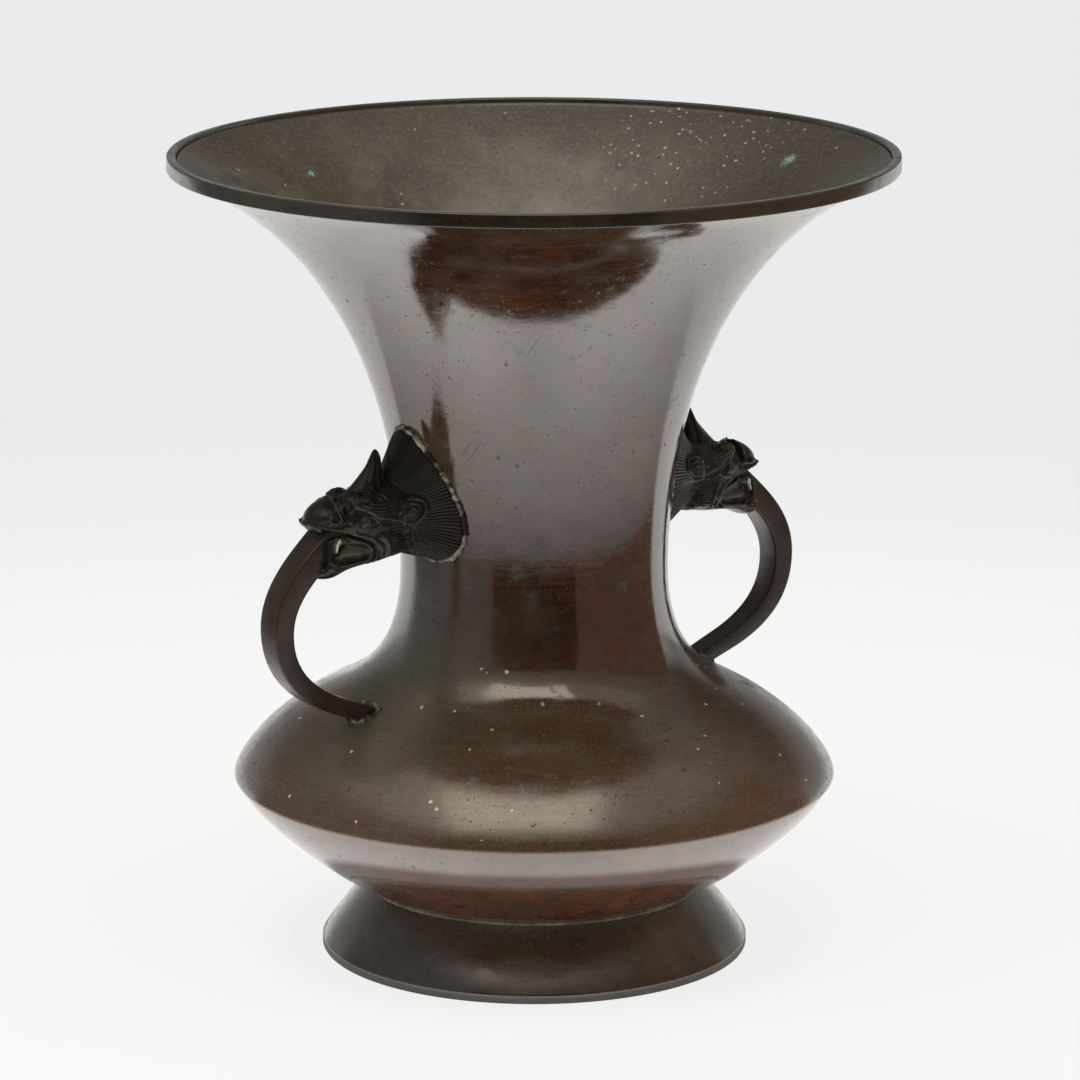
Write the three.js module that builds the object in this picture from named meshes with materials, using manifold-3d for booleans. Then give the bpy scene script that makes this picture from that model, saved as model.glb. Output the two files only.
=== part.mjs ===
// Bronze flower vase: trumpet mouth, keeled belly, splayed foot and two beast-head loop handles.
// Millimetres, +Z up. The origin is the middle of the foot's resting face and the handles stand along X.

import * as THREE from 'three';
import { mergeVertices } from 'three/addons/utils/BufferGeometryUtils.js';
import Module from 'manifold-3d';

const wasm = await Module();
wasm.setup();

// Body, from the mouth down
const HEIGHT = 280;
const WALL = 2.4;
const RIM_RADIUS = 125;
const RIM_BAND_WIDTH = 3.2;
const RIM_BAND_HEIGHT = 4.8;
const LIP_ANGLE = 23.6;
const LIP_PULL = 46;
const WAIST_RADIUS = 46.4;
const WAIST_HEIGHT = 135.5;
const WAIST_PULL_UP = 75.4;
const WAIST_PULL_DOWN = 32.6;
const SLOPE_RADIUS = 75.6;
const SLOPE_HEIGHT = 90;
const SLOPE_ANGLE = 27.3;
const SLOPE_PULL_UP = 14.5;
const SLOPE_PULL_DOWN = 19.7;
const SHOULDER_ANGLE = 84;
const SHOULDER_PULL = 5;
const KEEL_RADIUS = 104.6;
const KEEL_HEIGHT = 62.4;
const KEEL_LAND = 2.1;
const KEEL_LAP = 3;
const BOWL_KEEL_ANGLE = 65;
const BOWL_KEEL_PULL = 16.4;
const BOWL_FOOT_ANGLE = 26;
const BOWL_FOOT_PULL = 17.2;

// Foot and floor
const FOOT_HEIGHT = 24;
const FOOT_NECK_RADIUS = 58.8;
const FOOT_SPLAY_ANGLE = 52;
const FOOT_SPLAY_PULL = 19;
const FOOT_RADIUS = 74.4;
const FOOT_EDGE_HEIGHT = 3.2;
const FOOT_EDGE_PULL = 5.5;
const FOOT_EDGE_CHAMFER = 0.5;
const FOOT_WALL = 4;
const FLOOR_THICKNESS = 4;
const FLOOR_HOLE_RADIUS = 47;
const PLATE_RADIUS = 51;
const PLATE_THICKNESS = 2;

// Handle bar: section sizes are width across the handle by thickness along its bend
const BAR_TOP_WIDTH = 12;
const BAR_TOP_THICKNESS = 9;
const BAR_END_WIDTH = 8.4;
const BAR_END_THICKNESS = 5.6;
const BAR_REACH = 104.2;
const BAR_REACH_HEIGHT = 126;
const BAR_MOUTH_OUT = 40.2;
const BAR_MOUTH_DROP = 10.3;
const BAR_MOUTH_ANGLE = -42;
const BAR_MOUTH_PULL = 11;
const BAR_TENON = 10;
const BAR_REACH_PULL_UP = 11.5;
const BAR_REACH_PULL_DOWN = 16;
const BAR_LANDING_RADIUS = 70;
const BAR_LANDING_ANGLE = 22;
const BAR_LANDING_RUN = 11.6;
const BAR_LANDING_PULL = 13;

// Beast head, set out from the point where its middle line meets the neck
const HEAD_HEIGHT = 163;
const HEAD_REACH = 45.2;
const COLLAR_EDGE = 1.8;
const COLLAR_SINK = 4;
const LIP_ROLL_RADIUS = 0.9;

// The head's forms, in hundredths of its reach
// Skull, jaw and palate: outward, middle height, half width, height above, height below
const SKULL = [
  [-13, 0, 27, 24, 29],
  [18, 0, 28, 25, 29],
  [44, 2, 27, 21, 29],
  [62, 2, 24, 17, 23],
  [77, -1, 21, 14, 14],
  [92, -7, 18, 10, 10],
  [100, -10, 14, 4, 5],
];
const JAW = [
  [-13, -21, 18, 9, 11],
  [27, -27, 20, 9, 8],
  [53, -29, 20, 7, 7],
  [73, -31, 19, 7, 8],
  [86, -33, 18, 6, 8],
  [93, -35, 13, 4, 5],
];
const PALATE = [
  [35, -20, 15, 13, 13],
  [66, -18, 15, 11, 13],
  [86, -18, 14, 10, 13],
];
// Horn: outward, up, half length, half width
const HORN = [
  [42, 15, 14, 10],
  [39, 24, 9, 7],
  [37, 33, 6, 5],
  [36, 41, 4, 4],
  [36, 46, 2, 2],
];
// Swellings: outward, sideways and up of the middle, then the radius each way, then the dip in degrees
const NOSE = { middle: [82, 0, 4], radii: [19, 17, 12], dip: 30 };
const PAIRED_SWELLINGS = {
  brow: { middle: [61, 12, 12], radii: [12, 9, 7], dip: 0 },
  eye: { middle: [58, 21, -2], radii: [8, 5, 6], dip: 0 },
  ear: { middle: [24, 27, 5], radii: [12, 5, 9], dip: 12 },
  cheek: { middle: [41, 19, -18], radii: [19, 8, 12], dip: 0 },
};
// Lip roll: outward, sideways and up, from the snout round the corner of the mouth to the chin
const LIP_ROLL = [
  [92, 15, -14],
  [78, 19, -13],
  [64, 21, -17],
  [55, 22, -24],
  [60, 21, -30],
  [76, 20, -30],
];
// Half of the mane's edge on the neck, sideways and up, from the peak down and round to the throat
const MANE_EDGE = [
  [0, 60],
  [16, 43],
  [32, 19],
  [43, -4],
  [45, -21],
  [39, -35],
  [28, -39],
  [14, -36],
  [0, -34],
];
// The oval where the mane meets the skull
const MANE_OVAL = { out: 33, side: 23, middle: -2, rise: 24 };
const MANE_SHARES = [0.2, 0.55, 1];
const MANE_SWEEP = 0.7;
const MANE_PEAK = 1.2;

// Joints
const FIT_GAP = 0.3;
const SOLDER_RADIUS = 1;
const SOLDER_STAND = 0.5;
const SOLDER_FILLET = 1.7;
const PLATE_FILLET = 2.4;
const PIN_RADIUS = 2.2;
const PIN_HEAD_RADIUS = 4.6;
const PIN_HEAD_HEIGHT = 2.4;
const HEAD_PIN_LENGTH = 16;
const BAR_PIN_LENGTH = 11;
const CUT_MARGIN = 10;

// Facets
const TURN_SEGMENTS = 40;
const OUTSIDE_STEPS = [4, 6, 9];
const INSIDE_STEPS = [3, 4, 5];
const BOWL_STEPS = 5;
const FOOT_STEPS = 5;
const FOOT_INSIDE_STEPS = 3;
const BAR_STEPS = 21;
const OVAL_SEGMENTS = 16;
const OVAL_SQUARENESS = 0.8;
const HORN_SEGMENTS = 12;
const NOSE_FACETS = [14, 8];
const SWELLING_FACETS = [8, 5];
const LIP_ROLL_STEPS = 9;
const LIP_ROLL_SIDES = 5;
const MANE_STEPS = 14;
const BEAD_SIDES = 5;
const LANDING_BEAD_STEPS = 18;
const PIN_SEGMENTS = 16;
const PIN_HEAD_SEGMENTS = 16;
const HALVINGS = 24;

const radians = THREE.MathUtils.degToRad;

/** A profile point: distance from the axis, then height. */
function at(radius, height) {
  return new THREE.Vector2(radius, height);
}

/** The profile point a given way and distance from another; 0 degrees is outward and 90 is up. */
function step(point, degrees, distance) {
  const angle = radians(degrees);
  return at(point.x + Math.cos(angle) * distance, point.y + Math.sin(angle) * distance);
}

/** Points of a profile curve moved square to it, inward for a curve that runs upward. */
function offset(curve, count, inward) {
  const points = [];
  for (let i = 0; i <= count; i += 1) {
    const tangent = curve.getTangent(i / count);
    const point = curve.getPoint(i / count);
    points.push(at(point.x - tangent.y * inward, point.y + tangent.x * inward));
  }
  return points;
}

/** The value of one coordinate of a polyline where its other coordinate has the given value. */
function readOff(points, known, value, wanted) {
  for (let i = 1; i < points.length; i += 1) {
    const a = points[i - 1];
    const b = points[i];
    const share = (value - a[known]) / (b[known] - a[known]);
    if (share >= 0 && share <= 1) {
      return a[wanted] + (b[wanted] - a[wanted]) * share;
    }
  }
  throw new Error(`profile has no ${known} of ${value}`);
}

/** A closed solid from a geometry. */
function solid(geometry) {
  const bare = geometry.index ? geometry.toNonIndexed() : geometry.clone();
  bare.deleteAttribute('normal');
  bare.deleteAttribute('uv');
  const merged = mergeVertices(bare, 1e-4);
  const vertProperties = new Float32Array(merged.attributes.position.array);
  const triVerts = new Uint32Array(merged.index.array);
  return new wasm.Manifold(new wasm.Mesh({ numProp: 3, vertProperties, triVerts }));
}

/** A geometry from a closed solid. */
function faces(body) {
  const mesh = body.getMesh();
  const geometry = new THREE.BufferGeometry();
  geometry.setAttribute('position', new THREE.BufferAttribute(new Float32Array(mesh.vertProperties), 3));
  geometry.setIndex(new THREE.BufferAttribute(new Uint32Array(mesh.triVerts), 1));
  geometry.computeVertexNormals();
  return geometry;
}

/** A solid turned about the vase's axis from a profile that runs counter-clockwise. */
function turned(profile, segments = TURN_SEGMENTS) {
  const geometry = new THREE.LatheGeometry([...profile, profile[0]], segments);
  geometry.rotateX(Math.PI / 2);
  return solid(geometry);
}

/** A plain turned ring of rectangular section. */
function ring(inner, outer, bottom, top) {
  return turned([at(inner, bottom), at(outer, bottom), at(outer, top), at(inner, top)]);
}

/** A solid skinned through closed sections that have the same number of points. */
function skinned(sections) {
  const count = sections[0].length;
  const points = sections.flat();
  const triangles = [];
  for (let s = 0; s + 1 < sections.length; s += 1) {
    for (let i = 0; i < count; i += 1) {
      const a = s * count + i;
      const b = s * count + (i + 1) % count;
      triangles.push(a, b, a + count, b, b + count, a + count);
    }
  }
  for (const [section, flip] of [[0, true], [sections.length - 1, false]]) {
    const middle = new THREE.Vector3();
    sections[section].forEach((point) => middle.addScaledVector(point, 1 / count));
    const hub = points.push(middle) - 1;
    for (let i = 0; i < count; i += 1) {
      const a = section * count + i;
      const b = section * count + (i + 1) % count;
      triangles.push(hub, flip ? b : a, flip ? a : b);
    }
  }
  const geometry = new THREE.BufferGeometry().setFromPoints(points);
  geometry.setIndex(triangles);
  return solid(geometry);
}

/** An egg-shaped solid with its own radius each way, its front dipped by an angle. */
function egg(centre, radii, dip, [round, down]) {
  const geometry = new THREE.SphereGeometry(1, round, down);
  geometry.scale(...radii);
  geometry.rotateY(radians(dip));
  geometry.translate(centre.x, centre.y, centre.z);
  return solid(geometry);
}

/** A round bar between two points. */
function rod(from, to, radius, segments = PIN_SEGMENTS) {
  const along = new THREE.Vector3().subVectors(to, from);
  const geometry = new THREE.CylinderGeometry(radius, radius, along.length(), segments);
  const turn = new THREE.Quaternion();
  turn.setFromUnitVectors(new THREE.Vector3(0, 1, 0), along.clone().normalize());
  geometry.applyQuaternion(turn);
  const middle = new THREE.Vector3().lerpVectors(from, to, 1 / 2);
  geometry.translate(middle.x, middle.y, middle.z);
  return solid(geometry);
}

/** A round bead laid along a path that closes on itself, so that the bead has no ends. */
function bead(points, radius) {
  const path = new THREE.CatmullRomCurve3(points, true);
  return solid(new THREE.TubeGeometry(path, points.length, radius, BEAD_SIDES, true));
}

/** A round roll laid along an open path, with flat ends. */
function roll(points, radius) {
  const section = new THREE.Shape();
  for (let i = 0; i < LIP_ROLL_SIDES; i += 1) {
    const angle = (i / LIP_ROLL_SIDES) * Math.PI * 2;
    const corner = at(Math.cos(angle) * radius, Math.sin(angle) * radius);
    if (i === 0) {
      section.moveTo(corner.x, corner.y);
    } else {
      section.lineTo(corner.x, corner.y);
    }
  }
  section.closePath();
  const extrudePath = new THREE.CatmullRomCurve3(points);
  return solid(new THREE.ExtrudeGeometry(section, { steps: LIP_ROLL_STEPS, extrudePath }));
}

// Profile curves of the outside, each drawn upward
const rimEdge = at(RIM_RADIUS - RIM_BAND_WIDTH - FIT_GAP, HEIGHT - RIM_BAND_HEIGHT);
const waist = at(WAIST_RADIUS, WAIST_HEIGHT);
const slope = at(SLOPE_RADIUS, SLOPE_HEIGHT);
const keel = at(KEEL_RADIUS, KEEL_HEIGHT);
const footNeck = at(FOOT_NECK_RADIUS, FOOT_HEIGHT);
const footEdge = at(FOOT_RADIUS, FOOT_EDGE_HEIGHT);

const trumpetCurve = new THREE.CubicBezierCurve(
  waist,
  step(waist, 90, WAIST_PULL_UP),
  step(rimEdge, 180 + LIP_ANGLE, LIP_PULL),
  rimEdge,
);
const neckCurve = new THREE.CubicBezierCurve(
  slope,
  step(slope, 180 - SLOPE_ANGLE, SLOPE_PULL_UP),
  step(waist, -90, WAIST_PULL_DOWN),
  waist,
);
const shoulderCurve = new THREE.CubicBezierCurve(
  keel,
  step(keel, 180 - SHOULDER_ANGLE, SHOULDER_PULL),
  step(slope, -SLOPE_ANGLE, SLOPE_PULL_DOWN),
  slope,
);
const bowlCurve = new THREE.CubicBezierCurve(
  footNeck,
  step(footNeck, BOWL_FOOT_ANGLE, BOWL_FOOT_PULL),
  step(keel, 180 + BOWL_KEEL_ANGLE, BOWL_KEEL_PULL),
  keel,
);
const footCurve = new THREE.CubicBezierCurve(
  footEdge,
  step(footEdge, 90, FOOT_EDGE_PULL),
  step(footNeck, -FOOT_SPLAY_ANGLE, FOOT_SPLAY_PULL),
  footNeck,
);

/** The upper body's outline moved inward by a distance, from keel to lip. */
function upperOutline(inward, [shoulderSteps, neckSteps, trumpetSteps]) {
  return [
    ...offset(shoulderCurve, shoulderSteps, inward),
    ...offset(neckCurve, neckSteps, inward).slice(1),
    ...offset(trumpetCurve, trumpetSteps, inward).slice(1),
  ];
}

const outside = upperOutline(0, OUTSIDE_STEPS);
const inside = upperOutline(WALL, INSIDE_STEPS);

/** Everything inside the upper body's outline moved inward by a distance, solid to the axis. */
function plug(inward, steps) {
  const outline = upperOutline(inward, steps);
  const last = outline[outline.length - 1];
  return turned([at(0, outline[0].y), ...outline, at(0, last.y)]);
}

// Upper body: trumpet mouth, waist and shoulder in one casting, rebated at the keel
const lipInside = inside[inside.length - 1];
const lipTop = at(rimEdge.x, lipInside.y + (rimEdge.x - lipInside.x) * Math.tan(radians(LIP_ANGLE)));
const rebateRadius = KEEL_RADIUS - KEEL_LAND;
const headRoot = at(readOff(outside, 'y', HEAD_HEIGHT, 'x'), HEAD_HEIGHT);
const landing = at(BAR_LANDING_RADIUS, readOff(outside, 'x', BAR_LANDING_RADIUS, 'y'));
const landingWay = step(at(0, 0), BAR_LANDING_ANGLE, 1);

/** A point of the handle's middle plane, shifted sideways. */
function onHandle(point, side = 0) {
  return new THREE.Vector3(point.x, side, point.y);
}

const headPinInner = onHandle(step(headRoot, 180, WALL + PIN_HEAD_HEIGHT));
const headPinOuter = onHandle(step(headRoot, 0, HEAD_PIN_LENGTH - WALL - PIN_HEAD_HEIGHT));
const barPinInner = onHandle(step(landing, 180 + BAR_LANDING_ANGLE, WALL + PIN_HEAD_HEIGHT));
const barPinOuter = onHandle(step(landing, BAR_LANDING_ANGLE, BAR_PIN_LENGTH - WALL - PIN_HEAD_HEIGHT));
const headPinHoleEnd = headPinOuter.clone().setX(headPinOuter.x + FIT_GAP);
const headPinHole = rod(headPinInner, headPinHoleEnd, PIN_RADIUS + FIT_GAP);
const barPinHoleEnd = barPinOuter.clone().addScaledVector(onHandle(landingWay), FIT_GAP);
const barPinHole = rod(barPinInner, barPinHoleEnd, PIN_RADIUS + FIT_GAP);

let upperBody = turned([...outside, lipTop, ...inside.slice().reverse()]);
const keelCut = [rebateRadius - CUT_MARGIN, KEEL_RADIUS + CUT_MARGIN];
upperBody = upperBody.subtract(ring(...keelCut, KEEL_HEIGHT - CUT_MARGIN, KEEL_HEIGHT));
upperBody = upperBody.subtract(
  ring(rebateRadius - CUT_MARGIN, rebateRadius, KEEL_HEIGHT - CUT_MARGIN, KEEL_HEIGHT + KEEL_LAP),
);
for (const hole of [headPinHole, barPinHole]) {
  upperBody = upperBody.subtract(hole).subtract(hole.rotate([0, 0, 180]));
}

// Rim band round the trumpet's edge
const rimBand = ring(RIM_RADIUS - RIM_BAND_WIDTH, RIM_RADIUS, HEIGHT - RIM_BAND_HEIGHT, HEIGHT);

// Lower bowl: keel to foot, with a lap lip inside the upper body and a rebate for the base plate
const bowlInside = offset(bowlCurve, BOWL_STEPS, WALL);
const floorTop = FOOT_HEIGHT + FLOOR_THICKNESS;
const floorEdge = at(readOff(bowlInside, 'y', floorTop, 'x'), floorTop);
let lowerBowl = turned([
  at(FLOOR_HOLE_RADIUS, FOOT_HEIGHT),
  ...bowlCurve.getPoints(BOWL_STEPS),
  ...bowlInside.filter((point) => point.y > floorTop).reverse(),
  floorEdge,
  at(FLOOR_HOLE_RADIUS, floorTop),
]);
const lapOuter = rebateRadius - FIT_GAP;
const lapInner = rebateRadius - WALL;
lowerBowl = lowerBowl.subtract(ring(...keelCut, KEEL_HEIGHT, KEEL_HEIGHT + CUT_MARGIN));
lowerBowl = lowerBowl.add(ring(lapInner, lapOuter, KEEL_HEIGHT - WALL, KEEL_HEIGHT + KEEL_LAP - FIT_GAP));
const plateSeat = FOOT_HEIGHT + PLATE_THICKNESS;
lowerBowl = lowerBowl.subtract(
  ring(FLOOR_HOLE_RADIUS - CUT_MARGIN, PLATE_RADIUS + FIT_GAP, FOOT_HEIGHT - CUT_MARGIN, plateSeat),
);

// Base plate, let into the bowl's underside
const basePlate = turned([
  at(0, FOOT_HEIGHT),
  at(PLATE_RADIUS, FOOT_HEIGHT),
  at(PLATE_RADIUS, plateSeat),
  at(0, plateSeat),
]);

// Foot ring
const footInside = offset(footCurve, FOOT_INSIDE_STEPS, FOOT_WALL).reverse();
const footInnerTop = at(footInside[0].x, FOOT_HEIGHT);
const footRing = turned([
  at(FOOT_RADIUS - FOOT_WALL, 0),
  at(FOOT_RADIUS - FOOT_EDGE_CHAMFER, 0),
  at(FOOT_RADIUS, FOOT_EDGE_CHAMFER),
  ...footCurve.getPoints(FOOT_STEPS),
  footInnerTop,
  ...footInside,
]);

// Solder rings
const keelSolder = ring(
  lapInner - FIT_GAP - SOLDER_FILLET,
  lapInner - FIT_GAP,
  KEEL_HEIGHT + KEEL_LAP - SOLDER_FILLET - FIT_GAP,
  KEEL_HEIGHT + KEEL_LAP - FIT_GAP,
);
const crease = at(FOOT_NECK_RADIUS + FIT_GAP / Math.sin(radians(BOWL_FOOT_ANGLE)), FOOT_HEIGHT);
const footSolder = turned([
  crease,
  step(crease, -FOOT_SPLAY_ANGLE, SOLDER_FILLET),
  step(crease, BOWL_FOOT_ANGLE, SOLDER_FILLET),
]);
const plateCorner = at(footInnerTop.x - FIT_GAP, FOOT_HEIGHT - FIT_GAP);
const plateSolder = turned([
  step(plateCorner, -90, PLATE_FILLET),
  plateCorner,
  step(plateCorner, 180, PLATE_FILLET),
]);

// Handle bar: a tapering square-edged bar from the beast's mouth round to the shoulder
const barMouth = at(headRoot.x + BAR_MOUTH_OUT, headRoot.y - BAR_MOUTH_DROP);
const barReach = at(BAR_REACH, BAR_REACH_HEIGHT);
const barLower = step(landing, BAR_LANDING_ANGLE, BAR_LANDING_RUN);
const barPath = new THREE.CurvePath();
barPath.add(new THREE.LineCurve(step(barMouth, 180 + BAR_MOUTH_ANGLE, BAR_TENON), barMouth));
barPath.add(new THREE.CubicBezierCurve(
  barMouth,
  step(barMouth, BAR_MOUTH_ANGLE, BAR_MOUTH_PULL),
  step(barReach, 90, BAR_REACH_PULL_UP),
  barReach,
));
barPath.add(new THREE.CubicBezierCurve(
  barReach,
  step(barReach, -90, BAR_REACH_PULL_DOWN),
  step(barLower, BAR_LANDING_ANGLE, BAR_LANDING_PULL),
  barLower,
));
barPath.add(new THREE.LineCurve(barLower, step(landing, 180 + BAR_LANDING_ANGLE, BAR_END_THICKNESS)));

/** The handle bar with every face moved out by a margin. */
function barSolid(margin) {
  const sections = [];
  for (let i = 0; i <= BAR_STEPS; i += 1) {
    const share = i / BAR_STEPS;
    const point = barPath.getPoint(share);
    const way = barPath.getTangent(share);
    const half = THREE.MathUtils.lerp(BAR_TOP_THICKNESS, BAR_END_THICKNESS, share) / 2 + margin;
    const side = THREE.MathUtils.lerp(BAR_TOP_WIDTH, BAR_END_WIDTH, share) / 2 + margin;
    const back = i === 0 ? -margin : 0;
    const middle = at(point.x + way.x * back, point.y + way.y * back);
    const upper = onHandle(at(middle.x - way.y * half, middle.y + way.x * half));
    const lower = onHandle(at(middle.x + way.y * half, middle.y - way.x * half));
    sections.push([
      upper.clone().setY(-side),
      lower.clone().setY(-side),
      lower.clone().setY(side),
      upper.clone().setY(side),
    ]);
  }
  return skinned(sections);
}

const clearOfBody = plug(-FIT_GAP, OUTSIDE_STEPS);
const handleBar = barSolid(0).subtract(clearOfBody).subtract(barPinHole);

// Beast head

/** Sizes given in hundredths of the head's reach. */
function ofReach(values) {
  return values.map((value) => (value * HEAD_REACH) / 100);
}

/** A point of the head: outward from the neck, sideways, and up from the head's middle line. */
function onHead(out, side, up) {
  return new THREE.Vector3(headRoot.x + out, side, headRoot.y + up);
}

/** A squared-off circle's sine or cosine. */
function squared(value) {
  return Math.sign(value) * Math.abs(value) ** OVAL_SQUARENESS;
}

/** A rounded upright section of the head, with its own height above and below its middle. */
function headSection([out, middle, halfWidth, above, below]) {
  const points = [];
  for (let i = 0; i < OVAL_SEGMENTS; i += 1) {
    const angle = (i / OVAL_SEGMENTS) * Math.PI * 2;
    const across = squared(Math.cos(angle)) * halfWidth;
    const rise = squared(Math.sin(angle));
    points.push(onHead(out, across, middle + rise * (rise > 0 ? above : below)));
  }
  return points;
}

/** A level oval section of the horn. */
function hornSection([out, up, along, across]) {
  const points = [];
  for (let i = 0; i < HORN_SEGMENTS; i += 1) {
    const angle = (i / HORN_SEGMENTS) * Math.PI * 2;
    points.push(onHead(out + Math.cos(angle) * along, Math.sin(angle) * across, up));
  }
  return points;
}

/** A swelling of the head on one side of its middle plane, or on the plane itself. */
function swelling({ middle, radii, dip }, side, facets) {
  const [out, across, up] = ofReach(middle);
  return egg(onHead(out, across * side, up), ofReach(radii), dip, facets);
}

const maneEdge = new THREE.SplineCurve(MANE_EDGE.map((row) => at(...ofReach(row))));

/** The mane's edge all round, moved out by a distance, as sideways and height pairs. */
function maneOutline(out) {
  const half = [];
  for (let i = 0; i <= MANE_STEPS; i += 1) {
    const point = maneEdge.getPoint(i / MANE_STEPS);
    const way = maneEdge.getTangent(i / MANE_STEPS);
    half.push(at(Math.max(point.x - way.y * out, 0), point.y + way.x * out));
  }
  half[0] = at(0, maneEdge.getPoint(0).y + out * MANE_PEAK);
  half[MANE_STEPS] = at(0, maneEdge.getPoint(1).y - out);
  const mirrored = half.slice(1, -1).map((point) => at(-point.x, point.y)).reverse();
  return [...half, ...mirrored].reverse();
}

/** How far the neck's outside stands from the head's middle point, at a place on the mane's edge. */
function neckOut(point) {
  const radius = readOff(outside, 'y', headRoot.y + point.y, 'x');
  return Math.sqrt(radius ** 2 - point.x ** 2) - headRoot.x;
}

// The mane: from its edge on the neck it sweeps in to the back of the skull
const [ovalOut, ovalSide, ovalMiddle, ovalRise] = ofReach(Object.values(MANE_OVAL));

/** A section of the mane, a share of the way from its edge to the skull and standing off by a distance. */
function maneSection(share, stand) {
  return maneOutline(0).map((point) => {
    const angle = Math.atan2(point.y - ovalMiddle, point.x);
    const inner = at(Math.cos(angle) * ovalSide, ovalMiddle + Math.sin(angle) * ovalRise);
    const foot = neckOut(point) + COLLAR_EDGE * share;
    const out = THREE.MathUtils.lerp(foot, ovalOut, share ** MANE_SWEEP) + stand;
    const across = THREE.MathUtils.lerp(point.x, inner.x, share);
    return onHead(out, across, THREE.MathUtils.lerp(point.y, inner.y, share));
  });
}

const mane = skinned([
  maneSection(0, -COLLAR_SINK),
  maneSection(0, COLLAR_EDGE),
  ...MANE_SHARES.map((share) => maneSection(share, 0)),
]);

let beastHead = mane.add(skinned(HORN.map(ofReach).map(hornSection)));
for (const rows of [SKULL, JAW, PALATE]) {
  beastHead = beastHead.add(skinned(rows.map(ofReach).map(headSection)));
}
beastHead = beastHead.add(swelling(NOSE, 0, NOSE_FACETS));
for (const side of [-1, 1]) {
  for (const form of Object.values(PAIRED_SWELLINGS)) {
    beastHead = beastHead.add(swelling(form, side, SWELLING_FACETS));
  }
  const lip = LIP_ROLL.map(ofReach).map(([out, across, up]) => onHead(out, across * side, up));
  beastHead = beastHead.add(roll(lip, LIP_ROLL_RADIUS));
}
beastHead = beastHead.subtract(barSolid(FIT_GAP)).subtract(headPinHole).subtract(clearOfBody);

// Solder beads round the mane's edge and round the bar's landing
const beadStand = SOLDER_RADIUS + FIT_GAP;
const collarSolder = bead(
  maneOutline(beadStand).map((point) => onHead(neckOut(point) + SOLDER_STAND, point.x, point.y)),
  SOLDER_RADIUS,
).subtract(clearOfBody);

/** Where a line along the bar's landing, shifted across and through the bar, meets the shoulder. */
function onShoulder(across, through) {
  const start = step(landing, BAR_LANDING_ANGLE + 90, through);
  let buried = -BAR_END_WIDTH;
  let clear = BAR_END_WIDTH;
  for (let i = 0; i < HALVINGS; i += 1) {
    const middle = (buried + clear) / 2;
    const point = step(start, BAR_LANDING_ANGLE, middle);
    if (point.y > readOff(outside, 'x', Math.hypot(point.x, across), 'y')) {
      clear = middle;
    } else {
      buried = middle;
    }
  }
  return onHandle(step(start, BAR_LANDING_ANGLE, clear + SOLDER_STAND), across);
}

const landingPoints = [];
for (let i = 0; i < LANDING_BEAD_STEPS; i += 1) {
  const angle = (i / LANDING_BEAD_STEPS) * Math.PI * 2;
  const across = Math.sign(Math.sin(angle)) * Math.sqrt(Math.abs(Math.sin(angle)));
  const through = Math.sign(Math.cos(angle)) * Math.sqrt(Math.abs(Math.cos(angle)));
  landingPoints.push(onShoulder(
    across * (BAR_END_WIDTH / 2 + beadStand),
    through * (BAR_END_THICKNESS / 2 + beadStand),
  ));
}
const barSolder = bead(landingPoints, SOLDER_RADIUS).subtract(barSolid(FIT_GAP)).subtract(clearOfBody);

// Pins: each holds a handle casting to the wall and is headed over inside the vessel

/** A pin from its head inside the vessel to its far end in the handle. */
function pinSolid(inner, outer) {
  const way = new THREE.Vector3().subVectors(outer, inner).normalize();
  const headEnd = inner.clone().addScaledVector(way, PIN_HEAD_HEIGHT + WALL);
  const head = rod(inner, headEnd, PIN_HEAD_RADIUS, PIN_HEAD_SEGMENTS)
    .intersect(plug(WALL + FIT_GAP, INSIDE_STEPS));
  return head.add(rod(inner, outer, PIN_RADIUS));
}

const headPin = pinSolid(headPinInner, headPinOuter);
const barPin = pinSolid(barPinInner, barPinOuter);

// Finishes
const bodyBronze = { color: 0x4a3b33, roughness: 0.3, metalness: 0.8 };
const bandBronze = { color: 0x6a5a4c, roughness: 0.32, metalness: 0.8 };
const footBronze = { color: 0x453a2e, roughness: 0.38, metalness: 0.8 };
const headBronze = { color: 0x26221d, roughness: 0.5, metalness: 0.7 };
const barBronze = { color: 0x3a302a, roughness: 0.42, metalness: 0.8 };
const pinBronze = { color: 0x6b5234, roughness: 0.45, metalness: 0.9 };
const solderGrey = { color: 0x8b8a80, roughness: 0.6, metalness: 0.6 };

/** A named piece of the vase. */
function piece(name, body, finish) {
  const mesh = new THREE.Mesh(faces(body), new THREE.MeshStandardMaterial(finish));
  mesh.name = name;
  return mesh;
}

const group = new THREE.Group();
group.name = 'bronze_vase';
group.add(
  piece('rim_band', rimBand, bandBronze),
  piece('upper_body', upperBody, bodyBronze),
  piece('lower_bowl', lowerBowl, bodyBronze),
  piece('foot_ring', footRing, footBronze),
  piece('base_plate', basePlate, footBronze),
  piece('keel_solder_ring', keelSolder, solderGrey),
  piece('foot_solder_ring', footSolder, solderGrey),
  piece('base_solder_ring', plateSolder, solderGrey),
);

for (const [side, turn] of [['right', 0], ['left', Math.PI]]) {
  const handle = new THREE.Group();
  handle.name = `${side}_handle`;
  handle.rotation.z = turn;
  handle.add(
    piece(`${side}_beast_head`, beastHead, headBronze),
    piece(`${side}_handle_bar`, handleBar, barBronze),
    piece(`${side}_collar_solder`, collarSolder, solderGrey),
    piece(`${side}_bar_solder`, barSolder, solderGrey),
    piece(`${side}_head_pin`, headPin, pinBronze),
    piece(`${side}_bar_pin`, barPin, pinBronze),
  );
  group.add(handle);
}

export default group;
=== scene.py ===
"""Bronze vase with two beast-head handles: the finished looks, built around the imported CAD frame."""

import logging
import math
from dataclasses import dataclass
from enum import Enum
from functools import partial

import bpy
import numpy as np
from bpy.types import Material, Node, NodeSocket, NodeTree, Object
from mathutils import Matrix, Vector, noise


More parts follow.
